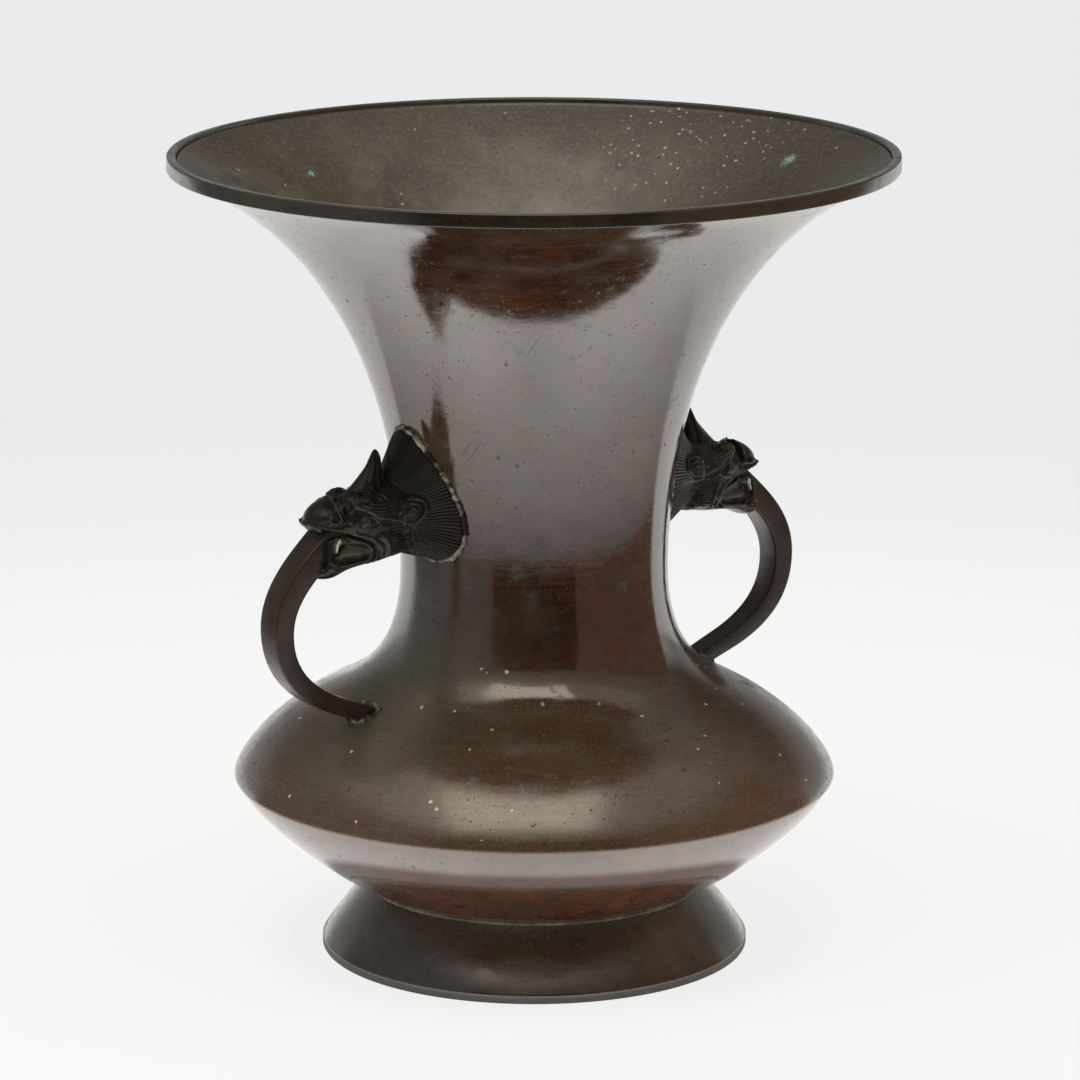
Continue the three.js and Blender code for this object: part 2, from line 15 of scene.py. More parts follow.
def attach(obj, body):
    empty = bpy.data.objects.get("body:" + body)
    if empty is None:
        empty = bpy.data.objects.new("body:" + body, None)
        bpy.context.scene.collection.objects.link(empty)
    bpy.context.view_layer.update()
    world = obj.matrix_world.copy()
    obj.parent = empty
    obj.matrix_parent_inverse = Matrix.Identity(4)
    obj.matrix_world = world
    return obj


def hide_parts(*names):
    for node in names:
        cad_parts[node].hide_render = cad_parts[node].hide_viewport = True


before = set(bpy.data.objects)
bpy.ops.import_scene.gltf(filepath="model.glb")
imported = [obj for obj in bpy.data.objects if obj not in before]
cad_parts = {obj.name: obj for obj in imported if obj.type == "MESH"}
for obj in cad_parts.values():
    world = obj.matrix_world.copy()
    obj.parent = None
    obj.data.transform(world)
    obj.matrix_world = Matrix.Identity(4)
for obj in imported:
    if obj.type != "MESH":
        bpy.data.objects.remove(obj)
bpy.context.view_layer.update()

logging.basicConfig(level=logging.INFO, format="%(message)s")
log = logging.getLogger("bronze_vase")

MM = 0.001
Pair = tuple[float, float]
Row = tuple[float, ...]


class Side(Enum):
    """Which way a handle points along the X axis."""

    RIGHT = 1
    LEFT = -1

    @property
    def label(self) -> str:
        """The prefix of this side's node names."""
        return self.name.lower()

    @property
    def turn(self) -> Matrix:
        """The turn about the vase's axis that brings the right handle here."""
        return Matrix.Rotation(0 if self is Side.RIGHT else math.pi, 4, "Z")


def linear(code: str) -> tuple[float, float, float, float]:
    """Turns an sRGB colour code into linear light.

    Args:
        code: Six hexadecimal digits after a hash sign.

    Returns:
        Red, green, blue and full opacity.
    """
    shares = [int(code[i : i + 2], 16) / 255 for i in (1, 3, 5)]
    red, green, blue = (c / 12.92 if c <= 0.04045 else ((c + 0.055) / 1.055) ** 2.4 for c in shares)
    return red, green, blue, 1.0


def stepped(point: Pair, degrees: float, distance: float) -> Pair:
    """The point a given way and distance from another; 0 degrees is outward and 90 is up."""
    angle = math.radians(degrees)
    return point[0] + math.cos(angle) * distance, point[1] + math.sin(angle) * distance


def bezier(
    start: Pair, leave: Pair, end: Pair, arrive: Pair, steps: int, inward: float = 0.0
) -> np.ndarray:
    """Samples a cubic curve, moved square to itself.

    Args:
        start: Start of the curve.
        leave: Angle in degrees and length of the pull at the start.
        end: End of the curve.
        arrive: Angle in degrees and length of the pull at the end.
        steps: Number of equal steps.
        inward: Distance to the left of the curve's way.

    Returns:
        Points as rows.
    """
    knots = (start, stepped(start, *leave), stepped(end, *arrive), end)
    a, b, c, d = (np.array(k, float) for k in knots)
    t = np.linspace(0, 1, steps + 1)[:, None]
    points = (1 - t) ** 3 * a + 3 * (1 - t) ** 2 * t * b + 3 * (1 - t) * t**2 * c + t**3 * d
    way = (1 - t) ** 2 * (b - a) + 2 * (1 - t) * t * (c - b) + t**2 * (d - c)
    way /= np.linalg.norm(way, axis=1)[:, None]
    return points + np.column_stack([-way[:, 1], way[:, 0]]) * inward


def spline(points: np.ndarray, steps: int, closed: bool = False) -> np.ndarray:
    """Runs a smooth curve through points.

    Args:
        points: Points as rows, of any number of columns.
        steps: Steps between one point and the next.
        closed: Whether the last point joins the first.

    Returns:
        The finer points as rows.
    """
    points = np.asarray(points, float)
    count = len(points)
    spans = count if closed else count - 1
    finer = []
    for i in range(spans):
        if closed:
            p = [points[(i + k) % count] for k in (-1, 0, 1, 2)]
        else:
            p = [points[min(max(i + k, 0), count - 1)] for k in (-1, 0, 1, 2)]
        bend = 2 * p[0] - 5 * p[1] + 4 * p[2] - p[3]
        twist = 3 * p[1] - p[0] - 3 * p[2] + p[3]
        for t in np.arange(steps) / steps:
            finer.append(0.5 * (2 * p[1] + (p[2] - p[0]) * t + bend * t**2 + twist * t**3))
    if not closed:
        finer.append(points[-1])
    return np.array(finer)


def oval(count: int, power: float = 2.0) -> tuple[np.ndarray, np.ndarray]:
    """Points round an oval of half width and half height 1.

    Args:
        count: Number of points.
        power: 2 gives a circle, more gives squarer ovals.

    Returns:
        Sideways and upward places.
    """
    turn = np.linspace(0, math.tau, count, endpoint=False)
    across, along = (np.sign(v) * np.abs(v) ** (2 / power) for v in (np.cos(turn), np.sin(turn)))
    return across, along


def smoothstep(low: float, high: float, value: np.ndarray) -> np.ndarray:
    """Rises smoothly from 0 at low to 1 at high."""
    t = np.clip((value - low) / (high - low), 0, 1)
    return t * t * (3 - 2 * t)


def fill(node: Node, inputs: dict) -> None:
    """Fills inputs of a shader node.

    Args:
        node: The node.
        inputs: Values, colour codes or sockets, by input name or number.
    """
    for key, value in inputs.items():
        if isinstance(value, NodeSocket):
            node.id_data.links.new(value, node.inputs[key])
        else:
            node.inputs[key].default_value = linear(value) if isinstance(value, str) else value


def add(tree: NodeTree, kind: str, *values: object, out: int | str = 0, **settings: object) -> NodeSocket:
    """Adds a shader node, sets its options and fills its inputs.

    Args:
        tree: The node tree.
        kind: The node's type name without its common first part, then its operation if it has one.
        values: Values or sockets in the order of the inputs, or a dict of them by input name or number.
        out: Number or name of the output that is wanted.
        settings: Options of the node.

    Returns:
        The output socket.
    """
    name, *operation = kind.split()
    node = tree.nodes.new("ShaderNode" + name)
    if operation:
        node.operation = operation[0]
    for option, value in settings.items():
        setattr(node, option, value)
    for place, value in enumerate(values):
        fill(node, value if isinstance(value, dict) else {place: value})
    return node.outputs[out]


def spots(tree: NodeTree, where: NodeSocket, cell: float, radius: float, share: float) -> NodeSocket:
    """Scattered round spots.

    Args:
        tree: The node tree.
        where: Socket with the coordinates, in metres.
        cell: Mean distance between candidate spots in millimetres.
        radius: Largest radius of a spot in millimetres.
        share: Share of the candidates that are kept.

    Returns:
        Socket that is 1 in a spot and 0 elsewhere.
    """
    cells = add(tree, "TexVoronoi", {"Vector": where, "Scale": 1 / (cell * MM)}).node.outputs
    kept = add(tree, "Math LESS_THAN", add(tree, "SeparateColor", cells["Color"]), share)
    edge = radius / cell
    near = add(tree, "MapRange", cells["Distance"], edge * 1.25, edge * 0.75)
    return add(tree, "Math MULTIPLY", kept, near)


def layered(tree: NodeTree, ground: str, *layers: tuple[NodeSocket | float, str]) -> NodeSocket:
    """Lays colours over one another.

    Args:
        tree: The node tree.
        ground: Colour code of the ground.
        layers: How much of each layer shows, and its colour code, from the lowest up.

    Returns:
        Socket of the mixed colour.
    """
    for share, colour in layers:
        ground = add(tree, "Mix", {0: share, 6: ground, 7: colour}, out=2, data_type="RGBA")
    return ground


@dataclass(frozen=True)
class Finish:
    """A procedural finish; the kinds below say what it gives the eye."""

    name: str

    def start(self) -> tuple[Material, NodeTree, NodeSocket]:
        """Makes a plain material.

        Returns:
            The material, its node tree and the place on the piece in metres.
        """
        material = bpy.data.materials.new(self.name)
        material.use_nodes = True
        return material, material.node_tree, add(material.node_tree, "TexCoord", out="Object")


@dataclass(frozen=True)
class OxideSkin(Finish):
    """Cast bronze under a thin waxed skin of copper oxide.

    Gives the eye a deep red-brown body colour with dark mottling, under a clear grey mirror of the room;
    the skin is a mineral, so it is no bare metal and its index of refraction is an oxide's.
    """

    skin: str = "#371e12"
    shade: str = "#1c0e07"
    bloom: str = "#4d4030"
    low_skin: str = "#783f2d"
    low_height_mm: float = -100.0
    dusty: str = "#5a4632"
    dusty_share: float = 0.0
    tint: str = "#fffdfa"
    russet: str = "#4a2617"
    russet_share: float = 0.0
    roughness: float = 0.075
    low_roughness: float = 0.2
    bowl_roughness: float = 0.04
    grain: str = "#6d5b47"
    grain_share: float = 1.0
    spread: float = 0.09
    index: float = 2.33
    cloud_mm: float = 55.0
    mottle_mm: float = 7.0
    pit: str = "#0e0907"
    pit_share: float = 0.65
    chip: str = "#d9d2bd"
    chip_heights_mm: Pair = (66.0, 112.0)
    scratch: str = "#120c08"
    scratch_turns: tuple[Row, ...] = ((38.0, 12.0, 0.0), (-30.0, 55.0, 0.0), (70.0, -20.0, 0.0))
    edge_height_mm: float = -100.0
    wear: str = "#7d5f45"
    flux: str = "#4a4636"
    flux_mm: tuple[Row, ...] = ()

    def build(self) -> Material:
        """Wires the material.

        Returns:
            The material.
        """
        material, tree, where = self.start()
        node = partial(add, tree)
        height = node("SeparateXYZ", where, out=2)
        cloud, mottle, patches, smudges, grain = (
            node("TexNoise", {"Vector": where, "Scale": 1 / (size * MM), "Detail": fine, "Roughness": sharp})
            for size, fine, sharp in (
                (self.cloud_mm, 3, 0.55), (self.mottle_mm, 7, 0.68),
                (18, 6, 0.68), (9, 6, 0.72), (0.9, 3, 0.6),
            )
        )
        hatch, streaks = (
            node("TexNoise", {
                "Vector": node("Mapping", {"Vector": where, "Scale": (thin, thin, 1)}),
                "Scale": 1 / (size * MM), "Detail": fine, "Roughness": sharp,
            })
            for thin, size, fine, sharp in ((0.03, 0.5, 4, 0.6), (0.1, 1.6, 5, 0.5))
        )
        # Broad tones: dark mottling, olive bloom, russet patches, dust on the shoulder's slope
        smudge = node("MapRange", smudges, 0.57, 0.67, 0, 0.7)
        dark = node("MapRange", mottle, 0.42, 0.68)
        olive = node("MapRange", node("Math ADD", cloud, patches), 0.94, 1.24)
        red = node("MapRange", patches, 0.52, 0.4, 0, self.russet_share)
        low = node("MapRange", height, (self.low_height_mm + 1) * MM, (self.low_height_mm - 1) * MM)
        slope = node("MapRange", height, 118 * MM, 84 * MM, 0, self.dusty_share)
        dust = node("Math MULTIPLY", slope, node("Math SUBTRACT", 1, low))
        dust = node("Math MULTIPLY", dust, mottle)
        # Fine grain and turning marks, weaker on the neck
        over = node("MapRange", height, 102 * MM, 116 * MM)
        neck = node("Math MULTIPLY", over, node("MapRange", height, 170 * MM, 150 * MM))
        coarse = node("Math MULTIPLY", node("MapRange", neck, 0, 1, 1, 0.3), self.grain_share)
        fleck = node("Math MULTIPLY", node("MapRange", over, 0, 1, 0.5, 0.16), coarse)
        speck = node("Math MULTIPLY", node("MapRange", grain, 0.5, 0.68), fleck)
        hatch = node("Math MULTIPLY", node("MapRange", hatch, 0.5, 0.72, 0, 0.35), coarse)
        brushed = node("Math MULTIPLY", node("MapRange", streaks, 0.5, 0.75, 0, 0.3), coarse)
        # Flux stains round the soldered joints
        halo = 0
        for place in self.flux_mm:
            gap = node("VectorMath DISTANCE", where, [c * MM for c in place], out="Value")
            gap = node("Math MULTIPLY_ADD", mottle, 24 * MM, gap)
            halo = node("Math MAXIMUM", halo, node("MapRange", gap, 64 * MM, 36 * MM, 0, 0.85))
        # Pits of several sizes, pale chips between two heights, and scratches
        bent = node("VectorMath MULTIPLY_ADD", grain.node.outputs["Color"], (1.6 * MM,) * 3, where)
        flat = node("Mapping", {"Vector": bent, "Scale": (0.35, 0.35, 1)})
        pits = spots(tree, bent, 1.8, 0.2, self.pit_share * 0.6)
        for place, cell, radius, share in (
            (bent, 3.4, 0.35, self.pit_share), (bent, 11, 0.8, self.pit_share), (flat, 2.2, 0.26, 0.4),
        ):
            pits = node("Math MAXIMUM", pits, spots(tree, place, cell, radius, share))
        flock = node("Math MULTIPLY", node("MapRange", cloud, 0.34, 0.54), coarse)
        pits = node("Math MULTIPLY", pits, flock)
        bottom, top = self.chip_heights_mm
        above = node("Math GREATER_THAN", height, bottom * MM)
        zone = node("Math MULTIPLY", above, node("Math LESS_THAN", height, top * MM))
        chips = node("Math MULTIPLY", spots(tree, bent, 6, 0.6, 0.3), zone)
        scratched = 0
        for turn in self.scratch_turns:
            turned = {"Vector": where, "Rotation": [math.radians(a) for a in turn], "Scale": (1, 1, 40)}
            drawn = node("Mapping", turned, vector_type="TEXTURE")
            scratched = node("Math MAXIMUM", scratched, spots(tree, drawn, 1.6, 0.15, 0.4))
        # The rubbed line along the keel
        off = node("Math ABSOLUTE", node("Math SUBTRACT", height, self.edge_height_mm * MM))
        rubbed = node("Math MULTIPLY", node("MapRange", off, 1.1 * MM, 0.2 * MM), mottle)
        colour = layered(
            tree, self.skin, (low, self.low_skin), (dark, self.shade), (olive, self.bloom),
            (red, self.russet), (dust, self.dusty), (halo, self.flux), (smudge, self.shade),
            (speck, self.grain), (hatch, self.grain), (pits, self.pit), (chips, self.chip),
            (scratched, self.scratch), (rubbed, self.wear), (brushed, self.bloom),
        )
        marks = node("Math MAXIMUM", pits, scratched)
        ground = node("MapRange", height, 78 * MM, 100 * MM, self.low_roughness, self.roughness)
        both = node("Math ADD", streaks, mottle)
        rough = node("Math ADD", ground, node("MapRange", both, 0.7, 1.3, -self.spread / 2, self.spread))
        bowl = self.bowl_roughness - self.low_roughness
        for share, more in ((marks, 0.45), (halo, 0.24), (smudge, 0.26), (low, bowl)):
            rough = node("Math MULTIPLY_ADD", share, more, rough)
        relief = mottle
        for share, rise in ((marks, -0.35), (streaks, 0.12), (hatch, 0.1)):
            relief = node("Math MULTIPLY_ADD", share, rise, relief)
        fine = node("Bump", {"Height": relief, "Strength": 0.12, "Distance": 0.3 * MM})
        wave = node("Bump", {"Height": cloud, "Strength": 0.3, "Distance": 0.8 * MM, "Normal": fine})
        fill(tree.nodes["Principled BSDF"], {
            "Base Color": colour, "Roughness": rough, "Normal": wave,
            "IOR": self.index, "Specular Tint": self.tint,
        })
        return material


@dataclass(frozen=True)
class SatinInterior(Finish):
    """The vase's inside: unpolished olive-grey oxide with dark pits, pale specks and two green stains."""

    ground: str = "#5f5b4b"
    shade: str = "#37312a"
    stain: str = "#42382b"
    grain: str = "#6a6350"
    pit: str = "#15100a"
    speck: str = "#a7a594"
    sprinkle_mm: Row = (98.0, 40.0, 271.0)
    roughness: float = 0.42
    index: float = 2.0
    stains_mm: tuple[tuple[Row, float, str], ...] = ()

    def build(self) -> Material:
        """Wires the material.

        Returns:
            The material.
        """
        material, tree, where = self.start()
        node = partial(add, tree)
        cloud, wide, grain, ragged = (
            node("TexNoise", {"Vector": where, "Scale": 1 / (size * MM), "Detail": fine, "Roughness": sharp})
            for size, fine, sharp in ((24, 8, 0.62), (60, 5, 0.6), (1.6, 4, 0.7), (0.9, 3, 0.5))
        )
        # Cloudy ground, with painted shade to the right and a painted dark reflection toward the brim
        patch = node("MapRange", cloud, 0.42, 0.6)
        warm = node("MapRange", wide, 0.48, 0.62)
        aside = node("VectorMath DOT_PRODUCT", where, (0.829, -0.559, 0), out="Value")
        right = node("MapRange", aside, -0.02, 0.08, 0, 0.85)
        brim = node("MapRange", node("SeparateXYZ", where, out=2), 258 * MM, 276 * MM, 0, 0.75)
        speckle = node("MapRange", grain, 0.5, 0.72, 0, 0.6)
        # Pits all over, pale specks in one cluster and a few elsewhere
        bent = node("VectorMath MULTIPLY_ADD", ragged.node.outputs["Color"], (1.8 * MM,) * 3, where)
        pits = spots(tree, bent, 2.6, 0.4, 0.4)
        sprinkled = node("VectorMath DISTANCE", where, [c * MM for c in self.sprinkle_mm], out="Value")
        cluster = node("MapRange", sprinkled, 42 * MM, 22 * MM)
        specks = node("Math MULTIPLY", spots(tree, bent, 3, 0.55, 0.4), cluster)
        specks = node("Math MAXIMUM", specks, spots(tree, bent, 7, 0.5, 0.3))
        stains = []
        for place, radius, shade in self.stains_mm:
            gap = node("VectorMath DISTANCE", where, [c * MM for c in place], out="Value")
            uneven = node("Math MULTIPLY_ADD", ragged, radius * MM * 3.4, gap)
            stains.append((node("MapRange", uneven, radius * MM * 2.7, radius * MM * 1.9), shade))
        colour = layered(
            tree, self.ground, (patch, self.shade), (warm, self.stain), (right, self.shade),
            (brim, self.shade), (speckle, self.grain), (pits, self.pit), (specks, self.speck), *stains,
        )
        rough = node("MapRange", cloud, 0, 1, self.roughness - 0.1, self.roughness + 0.1)
        bump = node("Bump", {"Height": cloud, "Strength": 0.35, "Distance": 0.4 * MM})
        fill(tree.nodes["Principled BSDF"], {
            "Base Color": colour, "Roughness": rough, "Normal": bump, "IOR": self.index,
        })
        return material


@dataclass(frozen=True)
class CarvedSkin(Finish):
    """Near-black oxide on the carved heads: paler on the ridges, partly rubbed wear and partly painted
    highlight, dusty olive in the cuts, and a painted highlight on the fang.
    """

    skin: str = "#201c16"
    ridge: str = "#5f5545"
    cut: str = "#2a251d"
    fang_highlight: str = "#b9b2a4"
    roughness: float = 0.3

    def build(self) -> Material:
        """Wires the material.

        Returns:
            The material.
        """
        material, tree, where = self.start()
        node = partial(add, tree)
        relief = node("Attribute", out="Fac", attribute_name="relief")
        grain = node("TexNoise", {"Vector": where, "Scale": 1 / (5 * MM), "Detail": 6, "Roughness": 0.65})
        worn = node("MapRange", grain, 0.35, 0.65, 0.2, 0.85)
        # Paler ridges: partly rubbed wear, partly painted highlight
        rubbed = node("Math MULTIPLY", node("MapRange", relief, 0.56, 0.95), worn)
        dusty = node("Math MULTIPLY", node("MapRange", relief, 0.44, 0.15), grain)
        # Painted highlight on the fang, which stands up highest
        tooth_highlight = node("MapRange", relief, 1.3, 1.5)
        colour = layered(tree, self.skin, (rubbed, self.ridge), (dusty, self.cut), (tooth_highlight, self.fang_highlight))
        rough = node("MapRange", grain, 0, 1, self.roughness - 0.1, self.roughness + 0.14)
        bump = node("Bump", {"Height": grain, "Strength": 0.3, "Distance": 0.25 * MM})
        fill(tree.nodes["Principled BSDF"], {"Base Color": colour, "Roughness": rough, "Normal": bump})
        return material


@dataclass(frozen=True)
class DullSolder(Finish):
    """Weathered soft solder: matt grey-green crust with brown dirt in the hollows."""

    crust: str = "#a3a294"
    dirt: str = "#231c14"
    roughness: float = 0.72

    def build(self) -> Material:
        """Wires the material.

        Returns:
            The material.
        """
        material, tree, where = self.start()
        node = partial(add, tree)
        crumbs, wide = (
            node("TexNoise", {"Vector": where, "Scale": 1 / (size * MM), "Detail": fine, "Roughness": sharp})
            for size, fine, sharp in ((2.2, 6, 0.7), (9, 2, 0.5))
        )
        soiled = layered(tree, self.crust, (node("MapRange", crumbs, 0.58, 0.4), self.dirt))
        colour = layered(tree, self.dirt, (node("MapRange", wide, 0.44, 0.55), soiled))
        bump = node("Bump", {"Height": crumbs, "Strength": 0.7, "Distance": 0.4 * MM})
        inputs = {"Base Color": colour, "Normal": bump, "Roughness": self.roughness}
        fill(tree.nodes["Principled BSDF"], inputs)
        return material


@dataclass(frozen=True)
class VaseOutline:
    """The vase's profile in millimetres, as the CAD source sets it out."""

    height: float = 280.0
    wall: float = 2.4
    rim_radius: float = 125.0
    rim_width: float = 3.2
    rim_height: float = 4.8
    fit_gap: float = 0.3
    lip_angle: float = 23.6
    lip_pull: float = 46.0
    tongue: Pair = (0.3, 1.0)
    cove: tuple[Pair, ...] = ((0, 0.8), (-0.12, 0.3), (-0.45, -0.05), (-1, -0.4))
    waist: Pair = (46.4, 135.5)
    waist_pulls: Pair = (75.4, 32.6)
    slope: Pair = (75.6, 90.0)
    slope_angle: float = 27.3
    slope_pulls: Pair = (14.5, 19.7)
    keel: Pair = (104.6, 62.4)
    keel_land: float = 2.1
    keel_lap: float = 3.0
    shoulder_angle: float = 84.0
    shoulder_pull: float = 5.0
    bowl_angles: Pair = (26.0, 65.0)
    bowl_pulls: Pair = (17.2, 16.4)
    foot_neck: Pair = (58.8, 24.0)
    foot_edge: Pair = (74.4, 3.2)
    foot_splay: float = 52.0
    foot_edge_turn: float = 122.0
    foot_pulls: Pair = (5.5, 19.0)
    foot_wall: float = 4.0
    foot_chamfer: float = 0.5
    floor_top: float = 28.0
    floor_hole: float = 47.0
    plate_radius: float = 51.0
    plate_thickness: float = 2.0

    @property
    def lip(self) -> Pair:
        """The upper body's top outer corner, inside the rim band."""
        return self.rim_radius - self.rim_width - self.fit_gap, self.height - self.rim_height

    def upper(self, inward: float, steps: int) -> np.ndarray:
        """Shoulder, neck and trumpet from keel to lip.

        Args:
            inward: Distance in from the outside.
            steps: Steps of the trumpet, and of shoulder and neck together.

        Returns:
            Profile points as rows.
        """
        up, down = self.waist_pulls
        slope_up, slope_down = self.slope_pulls
        shoulder = (180 - self.shoulder_angle, self.shoulder_pull)
        above, below = (180 - self.slope_angle, slope_up), (-self.slope_angle, slope_down)
        lip = (180 + self.lip_angle, self.lip_pull)
        half = steps // 2
        return np.vstack([
            bezier(self.keel, shoulder, self.slope, below, half, inward)[:-1],
            bezier(self.slope, above, self.waist, (-90, down), half, inward)[:-1],
            bezier(self.waist, (90, up), self.lip, lip, steps, inward),
        ])

    def bowl(self, inward: float, steps: int) -> np.ndarray:
        """The bowl from foot neck to keel.

        Args:
            inward: Distance in from the outside.
            steps: Steps of the curve.

        Returns:
            Profile points as rows.
        """
        leave = (self.bowl_angles[0], self.bowl_pulls[0])
        arrive = (180 + self.bowl_angles[1], self.bowl_pulls[1])
        return bezier(self.foot_neck, leave, self.keel, arrive, steps, inward)

    def foot(self, inward: float, steps: int) -> np.ndarray:
        """The foot's splay from its edge band to its neck.

        Args:
            inward: Distance in from the outside.
            steps: Steps of the curve.

        Returns:
            Profile points as rows.
        """
        leave = (self.foot_edge_turn, self.foot_pulls[0])
        arrive = (-self.foot_splay, self.foot_pulls[1])
        return bezier(self.foot_edge, leave, self.foot_neck, arrive, steps, inward)

    def radius_at(self, height: float | np.ndarray) -> np.ndarray:
        """The outside radius of the upper body at a height."""
        outline = self.upper(0, 60)
        return np.interp(height, outline[:, 1], outline[:, 0])

    def height_at(self, radius: float) -> float:
        """The height of the shoulder's outside at a radius."""
        outline = self.upper(0, 60)[:61]
        return float(np.interp(-radius, -outline[:, 0], outline[:, 1]))


def only(piece: Object) -> None:
    """Selects one object and makes it active.

    Args:
        piece: The piece.
    """
    bpy.ops.object.select_all(action="DESELECT")
    piece.select_set(True)
    bpy.context.view_layer.objects.active = piece


def named(name: str) -> Object:
    """Names the object that was made last and gives it back."""
    bpy.context.object.name = name
    return bpy.context.object


def corners(piece: Object) -> np.ndarray:
    """The vertex positions of a piece in millimetres, as rows.

    Args:
        piece: The piece.

    Returns:
        The positions.
    """
    flat = np.empty(len(piece.data.vertices) * 3)
    piece.data.vertices.foreach_get("co", flat)
    return flat.reshape(-1, 3) / MM


def normals_of(piece: Object) -> np.ndarray:
    """The outward normals at the vertices of a piece, as rows.

    Args:
        piece: The piece.

    Returns:
        The normals.
    """
    flat = np.empty(len(piece.data.vertices) * 3)
    piece.data.vertex_normals.foreach_get("vector", flat)
    return flat.reshape(-1, 3)


def reshape(piece: Object, places: np.ndarray) -> None:
    """Moves a piece's vertices to places in millimetres."""
    piece.data.vertices.foreach_set("co", (np.asarray(places) * MM).ravel())
    piece.data.update()


def closed_up(piece: Object) -> None:
    """Merges doubled vertices, closes open ends and turns the normals outward.

    Args:
        piece: The piece.
    """
    only(piece)
    bpy.ops.object.mode_set(mode="EDIT")
    for step, settings in (
        (bpy.ops.mesh.remove_doubles, {"threshold": 0.002 * MM}),
        (bpy.ops.mesh.fill_holes, {"sides": 0}),
        (bpy.ops.mesh.normals_make_consistent, {"inside": False}),
    ):
        bpy.ops.mesh.select_all(action="SELECT")
        step(**settings)
    bpy.ops.object.mode_set(mode="OBJECT")


def modify(piece: Object, kind: str, **settings: object) -> None:
    """Reshapes the active piece with a modifier.

    Args:
        piece: The piece.
        kind: The kind of modifier.
        settings: Its settings.
    """
    modifier = piece.modifiers.new(kind.lower(), kind)
    for option, value in settings.items():
        setattr(modifier, option, value)
    bpy.ops.object.modifier_apply(modifier=modifier.name)


def soften(piece: Object, width: float, segments: int, angle: float = 35.0) -> Object:
    """Rounds the sharp edges of a piece and shades it smoothly.

    Args:
        piece: The piece.
        width: Width of the rounding in millimetres.
        segments: Facets across the rounding.
        angle: Edges sharper than this many degrees are rounded.

    Returns:
        The piece.
    """
    only(piece)
    limit = math.radians(angle)
    modify(
        piece, "BEVEL", width=width * MM, segments=segments, limit_method="ANGLE", angle_limit=limit,
        harden_normals=False,
    )
    bpy.ops.object.shade_smooth_by_angle(angle=limit)
    return piece


def spun(name: str, profile: np.ndarray, steps: int = 192) -> Object:
    """Turns a closed profile about the vase's axis.

    Args:
        name: Name of the piece.
        profile: Radius and height in millimetres, as rows, round the section.
        steps: Steps round the axis.

    Returns:
        The piece.
    """
    bpy.ops.mesh.primitive_circle_add(vertices=len(profile))
    piece = named(name)
    reshape(piece, np.column_stack([profile[:, 0], np.zeros(len(profile)), profile[:, 1]]))
    bpy.ops.object.mode_set(mode="EDIT")
    bpy.ops.mesh.select_all(action="SELECT")
    bpy.ops.mesh.spin(steps=steps, angle=math.tau, center=(0, 0, 0), axis=(0, 0, 1))
    bpy.ops.object.mode_set(mode="OBJECT")
    closed_up(piece)
    return piece


def skinned(name: str, rings: np.ndarray) -> Object:
    """Skins a solid through closed rings.

    Args:
        name: Name of the piece.
        rings: Ring by ring, point by point, positions in millimetres.

    Returns:
        The piece, closed at both ends.
    """
    count, points = rings.shape[:2]
    bpy.ops.mesh.primitive_grid_add(x_subdivisions=points, y_subdivisions=count - 1, size=2 * MM)
    piece = named(name)
    grid = (corners(piece) + 1) / 2
    across = np.rint(grid[:, 0] * points).astype(int) % points
    along = np.rint(grid[:, 1] * (count - 1)).astype(int)
    reshape(piece, rings[along, across])
    closed_up(piece)
    return piece


def lumpy(piece: Object, size: float, height: float) -> None:
    """Pushes a piece's surface in and out at random.

    Args:
        piece: The piece.
        size: Size of a lump in millimetres.
        height: Greatest push in millimetres.
    """
    places = corners(piece)
    push = np.array([noise.fractal(Vector(p / size), 0.8, 2.0, 3) for p in places])
    reshape(piece, places + normals_of(piece) * (push * height)[:, None])


def bead(name: str, path: np.ndarray, radius: float, lumps: float = 0.8) -> Object:
    """Lays a lumpy bead of solder along a closed path.

    Args:
        name: Name of the piece.
        path: Points of the path in millimetres, as rows.
        radius: Radius of the bead in millimetres.
        lumps: Height of its lumps as a share of the radius.

    Returns:
        The piece.
    """
    bpy.ops.mesh.primitive_circle_add(vertices=len(path))
    piece = named(name)
    reshape(piece, path)
    bpy.ops.object.convert(target="CURVE")
    piece = bpy.context.object
    piece.data.bevel_depth = radius * MM
    piece.data.bevel_resolution = 3
    bpy.ops.object.convert(target="MESH")
    piece = bpy.context.object
    piece.data.name = name
    closed_up(piece)
    lumpy(piece, 1.9, radius * lumps)
    bpy.ops.object.shade_smooth()
    return piece


def dress(piece: Object, node: str, slot: str, *materials: Material) -> None:
    """Puts a piece in a CAD node's place with its materials.

    Args:
        piece: The piece.
        node: The CAD node it stands for.
        slot: The record's material slot; not used.
        materials: Materials in the order of the piece's slots.
    """
    piece.data.materials.clear()
    for material in materials:
        piece.data.materials.append(material)
    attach(piece, "root")
    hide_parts(node)
    log.info("%s: %d vertices", piece.name, len(piece.data.vertices))


